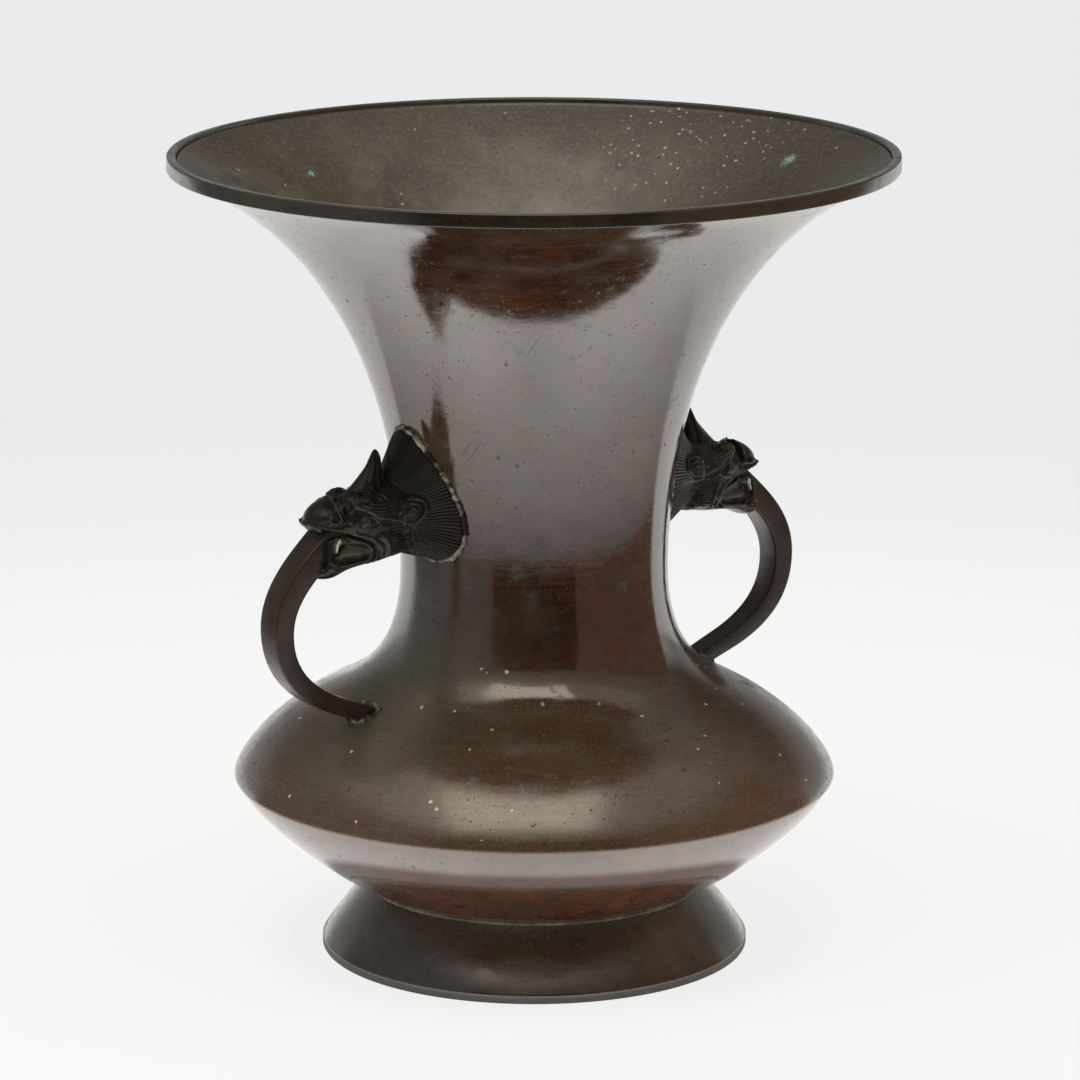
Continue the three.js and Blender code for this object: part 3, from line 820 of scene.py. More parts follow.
@dataclass
class Body:
    """The turned castings: rim band, upper body, bowl, foot and base plate."""

    outline: VaseOutline

    def build(self, body: Material, inside: Material, foot: Material, rim: Material) -> None:
        """Makes the castings and gives them their finishes.

        Args:
            body: Finish of the outside.
            inside: Finish of the upper body's inside.
            foot: Finish of foot and base plate.
            rim: Finish of the rim band.
        """
        upper_body, rim_band = self.upper_body(), self.rim_band()
        lower_bowl, foot_ring, base_plate = self.lower_bowl(), self.foot_ring(), self.base_plate()
        dress(rim_band, "rim_band", "rim_bronze", rim)
        dress(upper_body, "upper_body", "body_bronze", body, inside)
        dress(lower_bowl, "lower_bowl", "body_bronze", body)
        dress(foot_ring, "foot_ring", "foot_bronze", foot)
        dress(base_plate, "base_plate", "foot_bronze", foot)
        for face in upper_body.data.polygons:
            facing = face.normal.x * face.center.x + face.normal.y * face.center.y
            face.material_index = 1 if facing < 0 else 0

    def upper_body(self) -> Object:
        """Trumpet, waist and shoulder in one casting, rebated at the keel.

        Returns:
            The piece.
        """
        o = self.outline
        outer = o.upper(0, 72)
        inner = o.upper(o.wall, 60)[::-1]
        rebate = o.keel[0] - o.keel_land
        lap_top = o.keel[1] + o.keel_lap
        inner = inner[inner[:, 1] > lap_top + 0.2]
        rise = (outer[-1, 0] - inner[0, 0]) * math.tan(math.radians(o.lip_angle))
        edge, level = outer[-1, 0], inner[0, 1] + rise
        # A hidden tongue reaches into the rim band, and a small cove runs round inside it
        low, tip = outer[-1, 1], edge + 2 * o.fit_gap
        tongue = [(tip, low + o.tongue[0]), (tip, low + o.tongue[1]), (edge, low + o.tongue[1])]
        cove = [(edge + out, level + up) for out, up in o.cove]
        inner = inner[inner[:, 0] < edge - 1.2]
        seat = [(inner[-1, 0], lap_top), (rebate, lap_top), (rebate, o.keel[1])]
        return soften(spun("vase_upper_body", np.vstack([outer, tongue, cove, inner, seat])), 0.22, 2)

    def rim_band(self) -> Object:
        """The flat-topped band round the mouth.

        Returns:
            The piece.
        """
        o = self.outline
        inner, low = o.rim_radius - o.rim_width, o.height - o.rim_height
        section = [(inner, low), (o.rim_radius, low), (o.rim_radius, o.height), (inner, o.height)]
        return soften(spun("vase_rim_band", np.array(section), 256), 0.45, 3)

    def lower_bowl(self) -> Object:
        """The belly's underside with its lap lip and floor.

        Returns:
            The piece.
        """
        o = self.outline
        outer = o.bowl(0, 44)
        inner = o.bowl(o.wall, 40)[::-1]
        lap_outer = o.keel[0] - o.keel_land - o.fit_gap
        lap_inner = o.keel[0] - o.keel_land - o.wall
        lap_top = o.keel[1] + o.keel_lap - o.fit_gap
        inner = inner[(inner[:, 1] > o.floor_top + 0.2) & (inner[:, 0] < lap_inner - 0.4)]
        lap = [(lap_outer, o.keel[1]), (lap_outer, lap_top), (lap_inner, lap_top)]
        lap.append((lap_inner, inner[0, 1] + 0.6))
        seat = o.foot_neck[1] + o.plate_thickness
        floor = [
            (inner[-1, 0] - 0.8, o.floor_top),
            (o.floor_hole, o.floor_top),
            (o.floor_hole, seat),
            (o.plate_radius + o.fit_gap, seat),
            (o.plate_radius + o.fit_gap, o.foot_neck[1]),
        ]
        return soften(spun("vase_lower_bowl", np.vstack([outer, lap, inner, floor])), 0.2, 2)

    def foot_ring(self) -> Object:
        """The splayed foot with its upright edge band.

        Returns:
            The piece.
        """
        o = self.outline
        outer = o.foot(0, 32)
        inner = o.foot(o.foot_wall, 24)[::-1]
        radius = o.foot_edge[0]
        base = [(radius - o.foot_wall, 0), (radius - o.foot_chamfer, 0), (radius, o.foot_chamfer)]
        top = [(inner[0, 0], o.foot_neck[1])]
        return soften(spun("vase_foot_ring", np.vstack([base, outer, top, inner])), 0.3, 2, 20.0)

    def base_plate(self) -> Object:
        """The disc let into the bowl's underside.

        Returns:
            The piece.
        """
        o = self.outline
        bpy.ops.mesh.primitive_cylinder_add(
            vertices=128,
            radius=o.plate_radius * MM,
            depth=o.plate_thickness * MM,
            location=(0, 0, (o.foot_neck[1] + o.plate_thickness / 2) * MM),
        )
        bpy.ops.object.transform_apply(location=True, rotation=True, scale=True)
        return soften(named("vase_base_plate"), 0.3, 2)


@dataclass
class SolderRings:
    """The three soldered seams that run round the vase."""

    outline: VaseOutline
    half_size: float = 0.85
    lumps: float = 0.8
    seam_place: Pair = (0.65, -0.1)
    seam_half_size: float = 0.62
    seam_lumps: float = 0.15
    base_gap: float = 0.1

    def build(self, material: Material, seam: Material) -> None:
        """Makes and dresses the rings.

        Args:
            material: Finish of the solder inside the vase.
            seam: Finish of the solder in the crease above the foot.
        """
        o = self.outline
        lap_inner = o.keel[0] - o.keel_land - o.wall - o.fit_gap
        lap_top = o.keel[1] + o.keel_lap - o.fit_gap
        half, (out, up) = self.half_size, self.seam_place
        plain = (half, self.lumps, material)
        thin = (self.seam_half_size, self.seam_lumps, seam)
        rings = {
            "keel_solder_ring": (lap_inner - half, lap_top - half, plain),
            "foot_solder_ring": (o.foot_neck[0] + out, o.foot_neck[1] + up, thin),
            "base_solder_ring": (o.plate_radius - half, o.foot_neck[1] - half - self.base_gap, plain),
        }
        across, along = oval(240)
        for node, (radius, height, (thickness, lumps, finish)) in rings.items():
            path = np.column_stack([radius * across, radius * along, np.full(len(along), height)])
            dress(bead("vase_" + node, path, thickness, lumps), node, "solder", finish)


@dataclass(frozen=True)
class Stroke:
    """One line of the carving, drawn on the head's flank in millimetres.

    Attributes:
        points: Points of the line, outward and upward as seen from the side.
        height: How far it stands up, or is cut in when below zero.
        width: Half the width of the line.
        closed: Whether the line joins up.
        taper: Whether it thins out to its last point.
    """

    points: tuple[Pair, ...]
    height: float
    width: float
    closed: bool = False
    taper: bool = False

    def lift(self, p: np.ndarray, q: np.ndarray) -> np.ndarray:
        """How far this stroke lifts each point of the surface.

        Args:
            p: Outward positions on the flank.
            q: Upward positions on the flank.

        Returns:
            Lift in millimetres.
        """
        line = spline(np.array(self.points), 6, self.closed)
        if self.closed:
            line = np.vstack([line, line[:1]])
        reach = self.width * 3
        low, high = line.min(0) - reach, line.max(0) + reach
        near = np.flatnonzero((p > low[0]) & (p < high[0]) & (q > low[1]) & (q < high[1]))
        lift = np.zeros(len(p))
        if not len(near):
            return lift
        spot = np.column_stack([p[near], q[near]])
        best = np.full(len(near), 1e9)
        share = np.zeros(len(near))
        for i, (a, b) in enumerate(zip(line[:-1], line[1:])):
            way = b - a
            t = np.clip((spot - a) @ way / max(way @ way, 1e-9), 0, 1)
            gap = np.linalg.norm(spot - a - t[:, None] * way, axis=1)
            closer = gap < best
            best[closer] = gap[closer]
            share[closer] = (i + t[closer]) / (len(line) - 1)
        width = self.width * (1 - 0.75 * share) if self.taper else self.width
        lift[near] = self.height * np.exp(-((best / width) ** 2))
        return lift


@dataclass(frozen=True)
class Hollow:
    """A sunk field of the carving, such as the open mouth, drawn on the head's flank in millimetres."""

    points: tuple[Pair, ...]
    depth: float
    edge: float

    def lift(self, p: np.ndarray, q: np.ndarray) -> np.ndarray:
        """How far this field lifts each point of the surface.

        Args:
            p: Outward positions on the flank.
            q: Upward positions on the flank.

        Returns:
            Lift in millimetres, below zero inside the field.
        """
        line = spline(np.array(self.points), 5, True)
        after = np.roll(line, -1, axis=0)
        inside = np.zeros(len(p), bool)
        gap = np.full(len(p), 1e9)
        for (ax, ay), (bx, by) in zip(line, after):
            crosses = (ay > q) != (by > q)
            rise = by - ay if by != ay else 1e-9
            inside ^= crosses & (p < (bx - ax) * (q - ay) / rise + ax)
            span = max((bx - ax) ** 2 + (by - ay) ** 2, 1e-9)
            t = np.clip(((p - ax) * (bx - ax) + (q - ay) * (by - ay)) / span, 0, 1)
            gap = np.minimum(gap, np.hypot(p - ax - t * (bx - ax), q - ay - t * (by - ay)))
        return -self.depth * smoothstep(0, self.edge, np.where(inside, gap, 0))


def curl(centre: Pair, radius: float, turns: float, start: float) -> tuple[Pair, ...]:
    """Points of a flat spiral.

    Args:
        centre: Its middle.
        radius: Its outer radius in millimetres.
        turns: Number of turns.
        start: Angle of the outer end in degrees.

    Returns:
        Points from the outer end inward.
    """
    points = []
    for t in np.linspace(0, 1, 14):
        angle = math.radians(start) + t * turns * math.tau
        reach = radius * (1 - 0.85 * t)
        points.append((centre[0] + reach * math.cos(angle), centre[1] + reach * math.sin(angle)))
    return tuple(points)


LIP = (
    (50, 1.3), (46.2, -0.8), (42.3, -2.7), (38.5, -3.8), (35.8, -5), (34, -5.8), (30.8, -6.9), (27.7, -7.7),
    (25.8, -9.2), (24.8, -11.2), (25, -12.7), (26.5, -13.8), (30, -14.2), (33.8, -14.6), (37.3, -14.8),
)
UPPER_LIP = (
    (43.5, -0.5), (38.5, -1.9), (34.6, -3.1), (31.9, -4.2), (26.9, -5.8), (24.2, -7.7), (22.7, -10),
    (23.1, -12.3), (24.6, -14.2), (27.7, -14.9),
)
LIP_CUT = (
    (45, -1.6), (41, -2.4), (37, -3.6), (33.6, -4.9), (29, -6.4), (25.4, -8.1), (23.7, -10.5), (24.1, -12.6),
    (25.6, -14.1),
)
EAR = (
    (13.2, 4.7), (9.6, 5.1), (5.8, 4.6), (3.5, 3.1), (2.9, 1.1), (4.2, -1.4), (6.6, -3), (8.9, -3.5),
    (11.6, -2.6),
)
EAR_INSIDE = (
    (12.4, 3.4), (9.2, 3.7), (6.6, 3.1), (5.2, 1.9), (5.3, 0.4), (6.7, -1.2), (8.9, -2.1), (11.2, -1.6),
)
EAR_CUT = (
    (12.8, 4.1), (9.4, 4.4), (6.2, 3.9), (4.3, 2.5), (4.1, 0.8), (5.4, -1.3), (7.6, -2.6), (10.4, -2.4),
)
EYE = (
    (21.4, -1.9), (23.8, 0.3), (26.6, 0.9), (29, 0), (29.9, -1.5), (28.6, -2.9), (26.2, -3.5), (23.6, -3.1),
)
NOSTRIL = ((35.6, 1.9), (36.9, 0.6), (38.6, 0.1), (40.2, 0.4), (41.6, 1.4), (41.2, 2.6), (40, 2.9))
MOUTH = (
    (26.2, -9.8), (28.2, -8.6), (31, -7.8), (34.5, -6.8), (37, -6.2), (40.8, -6.4), (41.6, -9), (41, -12.4),
    (38, -13.5), (34, -13.7), (30, -13.3), (27, -12.9), (25.8, -11.6),
)
MOUTH_HOLLOW = Hollow(MOUTH, 1.1, 1.3)
FACE_STROKES = (
    Stroke(LIP, 0.7, 0.55),
    Stroke(UPPER_LIP, 0.65, 0.55),
    Stroke(LIP_CUT, -0.9, 0.45),
    Stroke(((28.4, -11.4), (32, -10.9), (35.6, -10.8)), 0.55, 1.5),
    Stroke(((26.6, -12.2), (29.4, -13), (33, -13.2), (36.6, -13.4)), -0.6, 0.6),
    Stroke(((21.5, -5.8), (18.8, -7.9), (17.7, -10.4), (18.3, -12.7), (20, -14.6)), 0.5, 0.48),
    Stroke(((23, -7.1), (20, -8.8), (19, -10.8), (20, -13.1), (21.5, -14.8)), -0.45, 0.4),
    Stroke(((25, -6.5), (21.9, -8.8), (20.8, -11.5), (21.5, -13.5), (23, -14.8)), 0.5, 0.48),
    Stroke(EAR, 0.5, 0.4),
    Stroke(EAR_INSIDE, 0.3, 0.32),
    Stroke(EAR_CUT, -0.4, 0.32),
    Stroke(((13.6, 6), (9.6, 6.2), (5.4, 5.7), (2.7, 3.8), (1.8, 1)), -0.7, 0.45),
    Stroke(((12.2, 2.2), (13, 0.4), (14.2, -0.4)), -0.6, 0.7),
    Stroke(((7.4, 1.5), (8.4, 1.7), (9.2, 1.4)), 0.4, 0.7),
    Stroke(curl((8.2, 1.5), 1.7, 1.0, 0), -0.3, 0.3, True),
    Stroke(EYE, 0.5, 0.34, True),
    Stroke(curl((26.7, -1.3), 1.75, 1.0, 0), 0.6, 0.34, True),
    Stroke(((26.4, -1.3), (27, -1.3)), 0.5, 0.55),
    Stroke(((22.2, -2.9), (23.3, -1.5), (23.1, -0.4)), -0.4, 0.3),
    Stroke(((23.4, -3.1), (24.5, -1.5), (24.2, 0.1)), -0.4, 0.3),
    Stroke(((11.2, -2.7), (13.5, -1.7), (15.4, -1.5), (18.5, -0.6), (21.5, 0.2), (24.6, 1.9), (27, 3.3),
            (30.8, 4.9), (32.7, 7.2)), 0.6, 0.42),
    Stroke(((12.5, -3.2), (15.4, -2.6), (18.5, -1.8), (20.6, -1.6)), -0.45, 0.4),
    Stroke(curl((27.6, 7.9), 1.5, 1.6, 200), 0.65, 0.36),
    Stroke(curl((30.9, 8.1), 1.6, 1.6, 200), 0.65, 0.36),
    Stroke(((19.6, 4.9), (22.4, 4.7), (25, 5.4), (26, 7)), 0.4, 0.34),
    Stroke(((19.2, 3.7), (22.2, 3.6), (25.4, 4.3), (28.8, 5.7), (29.4, 7)), 0.4, 0.34),
    Stroke(((19.4, 2.4), (22.2, 2.5), (25.2, 3.2), (29.6, 4.9), (32, 6.6)), 0.4, 0.34),
    Stroke(((20, 1.3), (22.2, 1.5), (24.4, 2.2), (26.6, 3)), 0.35, 0.3),
    Stroke(((24.4, 6.2), (26, 9.2), (28.8, 10.2), (31.4, 9.9), (33, 8.2)), 0.4, 0.4),
    Stroke(((41, 9.1), (39.7, 7.4), (38.4, 4.8), (36.9, 1.9)), 1.0, 0.55),
    Stroke(((39.6, 9), (37.9, 7), (36.6, 4.6), (35.4, 2)), -1.7, 1.1),
    Stroke(NOSTRIL, 0.6, 0.45),
    Stroke(((38.6, 1.5), (39.6, 1.7)), -0.7, 0.7),
    Stroke(((35.6, -0.6), (39, -1), (43, -0.2), (47, 1.9)), -0.7, 0.55),
    Stroke(((35.6, -6.2), (37.2, -5.5), (39.4, -5.1), (41.6, -5.6)), 0.5, 0.42),
    Stroke(((38.4, -6.6), (38.8, -7.8), (39.2, -9.6)), 2.2, 1.15, False, True),
    Stroke(((36.2, -6.6), (36.6, -7.2), (37, -7.6)), 0.9, 0.7, False, True),
    Stroke(((35.4, -7.4), (37, -8.6), (38.2, -10), (39.6, -10.6)), -0.9, 0.6),
    Stroke(((27, 1.4), (28.6, 2.6), (30.4, 3.6), (32.6, 5.2)), 0.35, 0.32),
    Stroke(((21.2, 5.9), (22.6, 7), (24, 7.2)), -0.35, 0.3),
    Stroke(((19.4, 6.2), (20.8, 7.6), (22.4, 8)), -0.35, 0.3),
    Stroke(((33.4, 4.6), (34.4, 2.4), (34.6, 0.6), (33.8, -1)), -0.5, 0.6),
    Stroke(((30.6, -0.2), (31.8, -1.4), (32, -2.8), (30.8, -4)), 0.4, 0.4),
    Stroke(curl((39.5, -14.7), 1.9, 1.5, 100), 0.45, 0.38),
    Stroke(((26, -14.9), (30, -15.1), (34, -15.4), (37, -16.2), (39.4, -17.2)), -0.5, 0.4),
    Stroke(((23.2, 22), (22.9, 18), (23.3, 14), (22.6, 11)), -0.7, 0.8),
    Stroke(((26, 13.4), (24.9, 16.2), (24.2, 20)), 0.3, 0.5),
    Stroke(((16.9, -3.4), (17.6, -2.4), (19.4, -2)), -0.5, 0.4),
    Stroke(((14.2, 2.4), (14.8, 1), (16.4, 0.4)), -0.5, 0.4),
)


def short_hair() -> tuple[Stroke, ...]:
    """The patch of short hair between ear and cheek: near-level cuts with scalloped ends.

    Returns:
        The strokes.
    """
    strokes = []
    for i in range(9):
        level = -4.6 - i * 0.98
        cut = ((10 - 0.27 * i, -0.35), (12.2, 0.2), (15.2, 0.5), (17, 0.2))
        strokes.append(Stroke(tuple((out, level + up) for out, up in cut), -0.7, 0.3))
    edge = ((10, -3.9), (8.8, -6.5), (8.1, -9.2), (7.8, -11.8), (8.4, -13.4))
    strokes.append(Stroke(edge, 0.35, 0.5))
    strokes.append(Stroke(tuple((p - 1.0, q) for p, q in edge), -0.35, 0.4))
    return tuple(strokes)


@dataclass(frozen=True)
class HeadForms:
    """Rounded forms of the beast head, in millimetres outward, sideways and upward from its root.

    The rows of the lofts give outward place, middle height, half width, rise above and drop below the middle.
    """

    skull: tuple[Row, ...] = (
        (2, -1, 12, 11, 12),
        (9, -1, 13, 12, 12.3),
        (15, -1, 12.7, 11.3, 12.4),
        (21, -1.4, 12.1, 10, 12.4),
        (26, -1.5, 11.3, 9, 11.6),
        (31, -0.4, 9.9, 6.9, 6.6),
        (36, -0.9, 9.1, 5, 4),
        (40.4, -0.8, 8.3, 2.2, 2.3),
        (43.4, -0.7, 7, 1.3, 1.3),
    )
    jaw: tuple[Row, ...] = (
        (8, -11, 8.6, 3, 3),
        (20, -12.6, 9.6, 3.6, 3.8),
        (27, -14.1, 9.5, 2.4, 2.6),
        (33, -15.2, 9.1, 2, 2.5),
        (38, -16.4, 8.5, 2.3, 3.6),
        (41.8, -16.8, 7.2, 1.8, 3.2),
        (43.8, -17, 5, 0.9, 1.9),
    )
    palate: tuple[Row, ...] = ((18, -10, 9.6, 5, 4), (30, -10.2, 9.3, 5, 4.5), (40.6, -10.6, 8.4, 5, 5))
    horn: tuple[Row, ...] = (
        (21.2, 8, 6.4, 5.0),
        (20, 10.4, 5.2, 4.0),
        (18.8, 13, 4, 3.1),
        (17.7, 15.6, 2.9, 2.4),
        (17.1, 18, 2.2, 1.9),
        (16.9, 20, 1.4, 1.3),
        (17, 21.4, 0.5, 0.5),
    )
    eggs: tuple[tuple[Row, Row, float], ...] = (
        ((36.9, 0, 1.1), (8.2, 7.8, 5.2), 26),
        ((26.4, 6.2, 4.6), (5.2, 4.4, 3.0), -8),
        ((26.2, 10.1, -1.3), (3.6, 2, 2.6), 0),
        ((18.4, 9.4, -8.2), (7, 3.8, 5.8), 0),
        ((10.4, 13.0, 1.6), (5.2, 1.8, 4.4), 10),
        ((37.2, 5.4, 0.4), (3.6, 2.8, 2.2), 10),
        ((39, 7.8, -15.2), (2.5, 1.8, 2.5), 0),
    )
    mane: tuple[Pair, ...] = (
        (0, 26.8), (4.4, 25.2), (9.8, 20.4), (14.8, 13.8), (18.7, 5.6), (20.8, -2.4), (20.2, -9.2),
        (17, -14.5), (11.5, -17.1), (5.5, -17.2), (0, -16.4),
    )
    mane_front: float = 14.2
    mane_oval: tuple[float, float, float] = (11.6, 11.2, -1.0)
    mane_bulge: Pair = (0.62, 0.95)
    collar: float = 1.6
    voxel: float = 0.315


@dataclass
class BeastHead:
    """The carved head of a handle, biting its bar, with a mane that makes a collar on the neck."""

    outline: VaseOutline
    root_height: float = 163.0
    forms: HeadForms = HeadForms()
    sight: Row = (0.545, 0.806, 0.23)
    flank: float = 10.5
    seen_from: Pair = (0.08, 0.42)
    solder_aside: float = 0.6
    solder_out: float = 0.35
    solder_radius: float = 0.85

    @property
    def root(self) -> np.ndarray:
        """The point where the head's middle line meets the neck, in millimetres."""
        return np.array([float(self.outline.radius_at(self.root_height)), 0.0, self.root_height])

    def neck_out(self, side: np.ndarray, up: np.ndarray) -> np.ndarray:
        """How far out from the root the neck's surface lies."""
        radius = self.outline.radius_at(up + self.root_height)
        return np.sqrt(np.maximum(radius**2 - side**2, 0)) - self.root[0]

    def loft(self, name: str, rows: tuple[Row, ...], power: float = 2.4) -> Object:
        """A form skinned through ovals that stand square to the head's length.

        Args:
            name: Name of the form.
            rows: Outward place, middle, half width, rise and drop.
            power: 2 gives ellipses, more gives squarer ovals.

        Returns:
            The form.
        """
        across, along = oval(48, power)
        rings = []
        for out, middle, half, above, below in spline(np.array(rows), 5):
            up = middle + np.where(along > 0, above, below) * along
            rings.append(np.column_stack([np.full(len(up), out), half * across, up]))
        return skinned(name, np.array(rings) + self.root)

    def horn(self) -> Object:
        """The stubby horn on the brow, raked back.

        Returns:
            The form.
        """
        forward, aside = oval(32)
        rings = []
        for out, up, along, across in spline(np.array(self.forms.horn), 5):
            rings.append(np.column_stack([out + along * forward, across * aside, np.full(len(aside), up)]))
        return skinned("horn", np.array(rings) + self.root)

    def mane_edge(self) -> np.ndarray:
        """The mane's outline on the neck as side and height, all round."""
        half = spline(np.array(self.forms.mane), 8)
        return np.vstack([half, (half * (-1, 1))[-2:0:-1]])

    def mane(self) -> Object:
        """The mane: a bulging sheet from the collar on the neck in to the skull.

        Returns:
            The form.
        """
        edge = self.mane_edge()
        half_width, rise, middle = self.forms.mane_oval
        angle = np.arctan2(edge[:, 1] - middle, edge[:, 0])
        inner = np.column_stack([half_width * np.cos(angle), middle + rise * np.sin(angle)])
        rings = []
        for share in (0.03, 0.5, 1.0):
            ring = np.array([0, middle]) + (edge - (0, middle)) * share
            rings.append(np.column_stack([self.neck_out(ring[:, 0], ring[:, 1]) - 1.0, ring]))
        base = self.neck_out(edge[:, 0], edge[:, 1])
        ridge, flank = self.forms.mane_bulge
        bulge = ridge + (flank - ridge) * smoothstep(1, 9, np.abs(edge[:, 0]))
        for share in (0, 0.06, 0.16, 0.3, 0.48, 0.68, 0.86, 1):
            ring = edge + (inner - edge) * share
            lift = base + self.forms.collar
            out = lift + (self.forms.mane_front - lift) * share**bulge
            rings.append(np.column_stack([out, ring]))
        return skinned("mane", np.array(rings) + self.root)

    def eggs(self) -> list[Object]:
        """Nose, brows, eyes, cheeks, ears and nostrils as rounded swellings.

        Returns:
            The forms.
        """
        made = []
        for (out, side, up), radii, dip in self.forms.eggs:
            for way in (1,) if side == 0 else (1, -1):
                bpy.ops.mesh.primitive_uv_sphere_add(segments=40, ring_count=24, radius=MM)
                egg = bpy.context.object
                places = corners(egg) * radii
                turn = np.array(Matrix.Rotation(math.radians(dip), 3, "Y"))
                reshape(egg, places @ turn.T + self.root + (out, side * way, up))
                made.append(egg)
        return made

    def fused(self, name: str) -> Object:
        """Runs all the forms into one skin.

        Args:
            name: Name of the piece.

        Returns:
            The uncarved head.
        """
        forms = [
            self.mane(),
            self.loft("skull", self.forms.skull),
            self.loft("jaw", self.forms.jaw),
            self.loft("palate", self.forms.palate, 4.5),
            self.horn(),
            *self.eggs(),
        ]
        bpy.ops.object.select_all(action="DESELECT")
        for form in forms:
            form.select_set(True)
        piece = forms[0]
        bpy.context.view_layer.objects.active = piece
        bpy.ops.object.join()
        piece.name = name
        piece.data.name = name
        modify(piece, "REMESH", mode="VOXEL", voxel_size=self.forms.voxel * MM)
        modify(piece, "SMOOTH", factor=0.5, iterations=9)
        return piece

    def hair(self, side: np.ndarray, out: np.ndarray, up: np.ndarray) -> np.ndarray:
        """The mane's combed grooves, spreading from the skull to the collar.

        Args:
            side: Distance from the middle plane.
            out: Outward places.
            up: Upward places.

        Returns:
            Lift in millimetres.
        """
        edge = spline(np.array(self.forms.mane), 16)
        half_width, rise, middle = self.forms.mane_oval
        edge_angle = np.arctan2(edge[:, 1] - middle, edge[:, 0])[::-1]
        edge_reach = np.hypot(edge[:, 0], edge[:, 1] - middle)[::-1]
        pitch = 1.3 - 0.15 * smoothstep(0, 12, edge[1:, 1])
        count = np.concatenate([[0], np.cumsum(np.linalg.norm(np.diff(edge, axis=0), axis=1) / pitch)])[::-1]
        parting = 10.0
        edge_flow = np.arccosh((edge[:, 0] + 1j * (edge[:, 1] - middle)) / parting).imag[::-1]
        angle = np.arctan2(up - middle, side)
        reach = np.hypot(side, up - middle)
        rim = np.interp(angle, edge_angle, edge_reach)
        core = 1 / np.sqrt((np.cos(angle) / half_width) ** 2 + (np.sin(angle) / rise) ** 2)
        share = (rim - reach) / (rim - core)
        flow = np.arccosh((side + 1j * (up - middle)) / parting).imag
        place = np.interp(flow, edge_flow, count)
        place = place + 0.3 * np.sin(reach * 0.5 + place * 0.15)
        comb = -np.exp(-((np.sin(place * math.pi) / 0.5) ** 2))
        locks = 0.35 * np.sin(place * math.tau / 6.5)
        front = self.forms.mane_front + 1.2
        mask = smoothstep(-0.03, 0.02, share) * (1 - smoothstep(0.8, 1.05, share))
        mask = mask * (1 - smoothstep(front - 1, front, out))
        depth = 0.55 + 0.4 * (1 - smoothstep(2, 10, up)) + 0.25 * (1 - smoothstep(3, 7, side))
        return mask * (0.3 * depth + depth * comb + 0.3 * locks)

    def carve(self, piece: Object) -> None:
        """Cuts the carving into the head and notes how high each place stands, raised inside the mouth as
        painted light.

        Args:
            piece: The uncarved head.
        """
        places, normals = corners(piece), normals_of(piece)
        out, side, up = (places - self.root).T
        half = np.abs(side)
        mirrored = np.column_stack([normals[:, 0], normals[:, 1] * np.sign(side), normals[:, 2]])
        toward = mirrored @ np.array(self.sight)
        seen = smoothstep(*self.seen_from, toward)
        p = out - self.sight[0] / self.sight[1] * (half - self.flank)
        q = up - self.sight[2] / self.sight[1] * (half - self.flank)
        lift = sum(stroke.lift(p, q) for stroke in FACE_STROKES) * seen
        patch = sum(stroke.lift(p, q) for stroke in short_hair()) * seen
        ear_near = Stroke(EAR_INSIDE, 1.0, 3.4, True).lift(p, q)
        combed = self.hair(half, out, up) * (1 - np.clip(ear_near * 1.3, 0, 1))
        total = lift + patch + combed
        sunk = MOUTH_HOLLOW.lift(p, q) * seen
        inward = np.column_stack([np.zeros(len(side)), np.sign(side) * sunk, np.zeros(len(side))])
        reshape(piece, places + normals * total[:, None] + inward)
        # Painted light: the relief is raised inside the shaded mouth hollow, so it is coloured lighter
        total = total - sunk * 0.25
        relief = piece.data.attributes.new("relief", "FLOAT", "POINT")
        relief.data.foreach_set("value", np.clip(0.5 + total * 0.6, 0, 2))

    def build(self) -> Object:
        """Models the right-hand head.

        Returns:
            The carved head.
        """
        piece = self.fused("right_head")
        self.carve(piece)
        only(piece)
        bpy.ops.object.shade_smooth()
        return piece

    def collar(self) -> Object:
        """The crumbly bead of solder between mane and neck.

        Returns:
            The piece.
        """
        edge = self.mane_edge()
        middle = self.forms.mane_oval[2]
        away = edge - (0, middle)
        edge = edge + away / np.linalg.norm(away, axis=1)[:, None] * self.solder_aside
        out = self.neck_out(edge[:, 0], edge[:, 1]) + self.solder_out
        return bead("right_collar_bead", np.column_stack([out, edge]) + self.root, self.solder_radius)


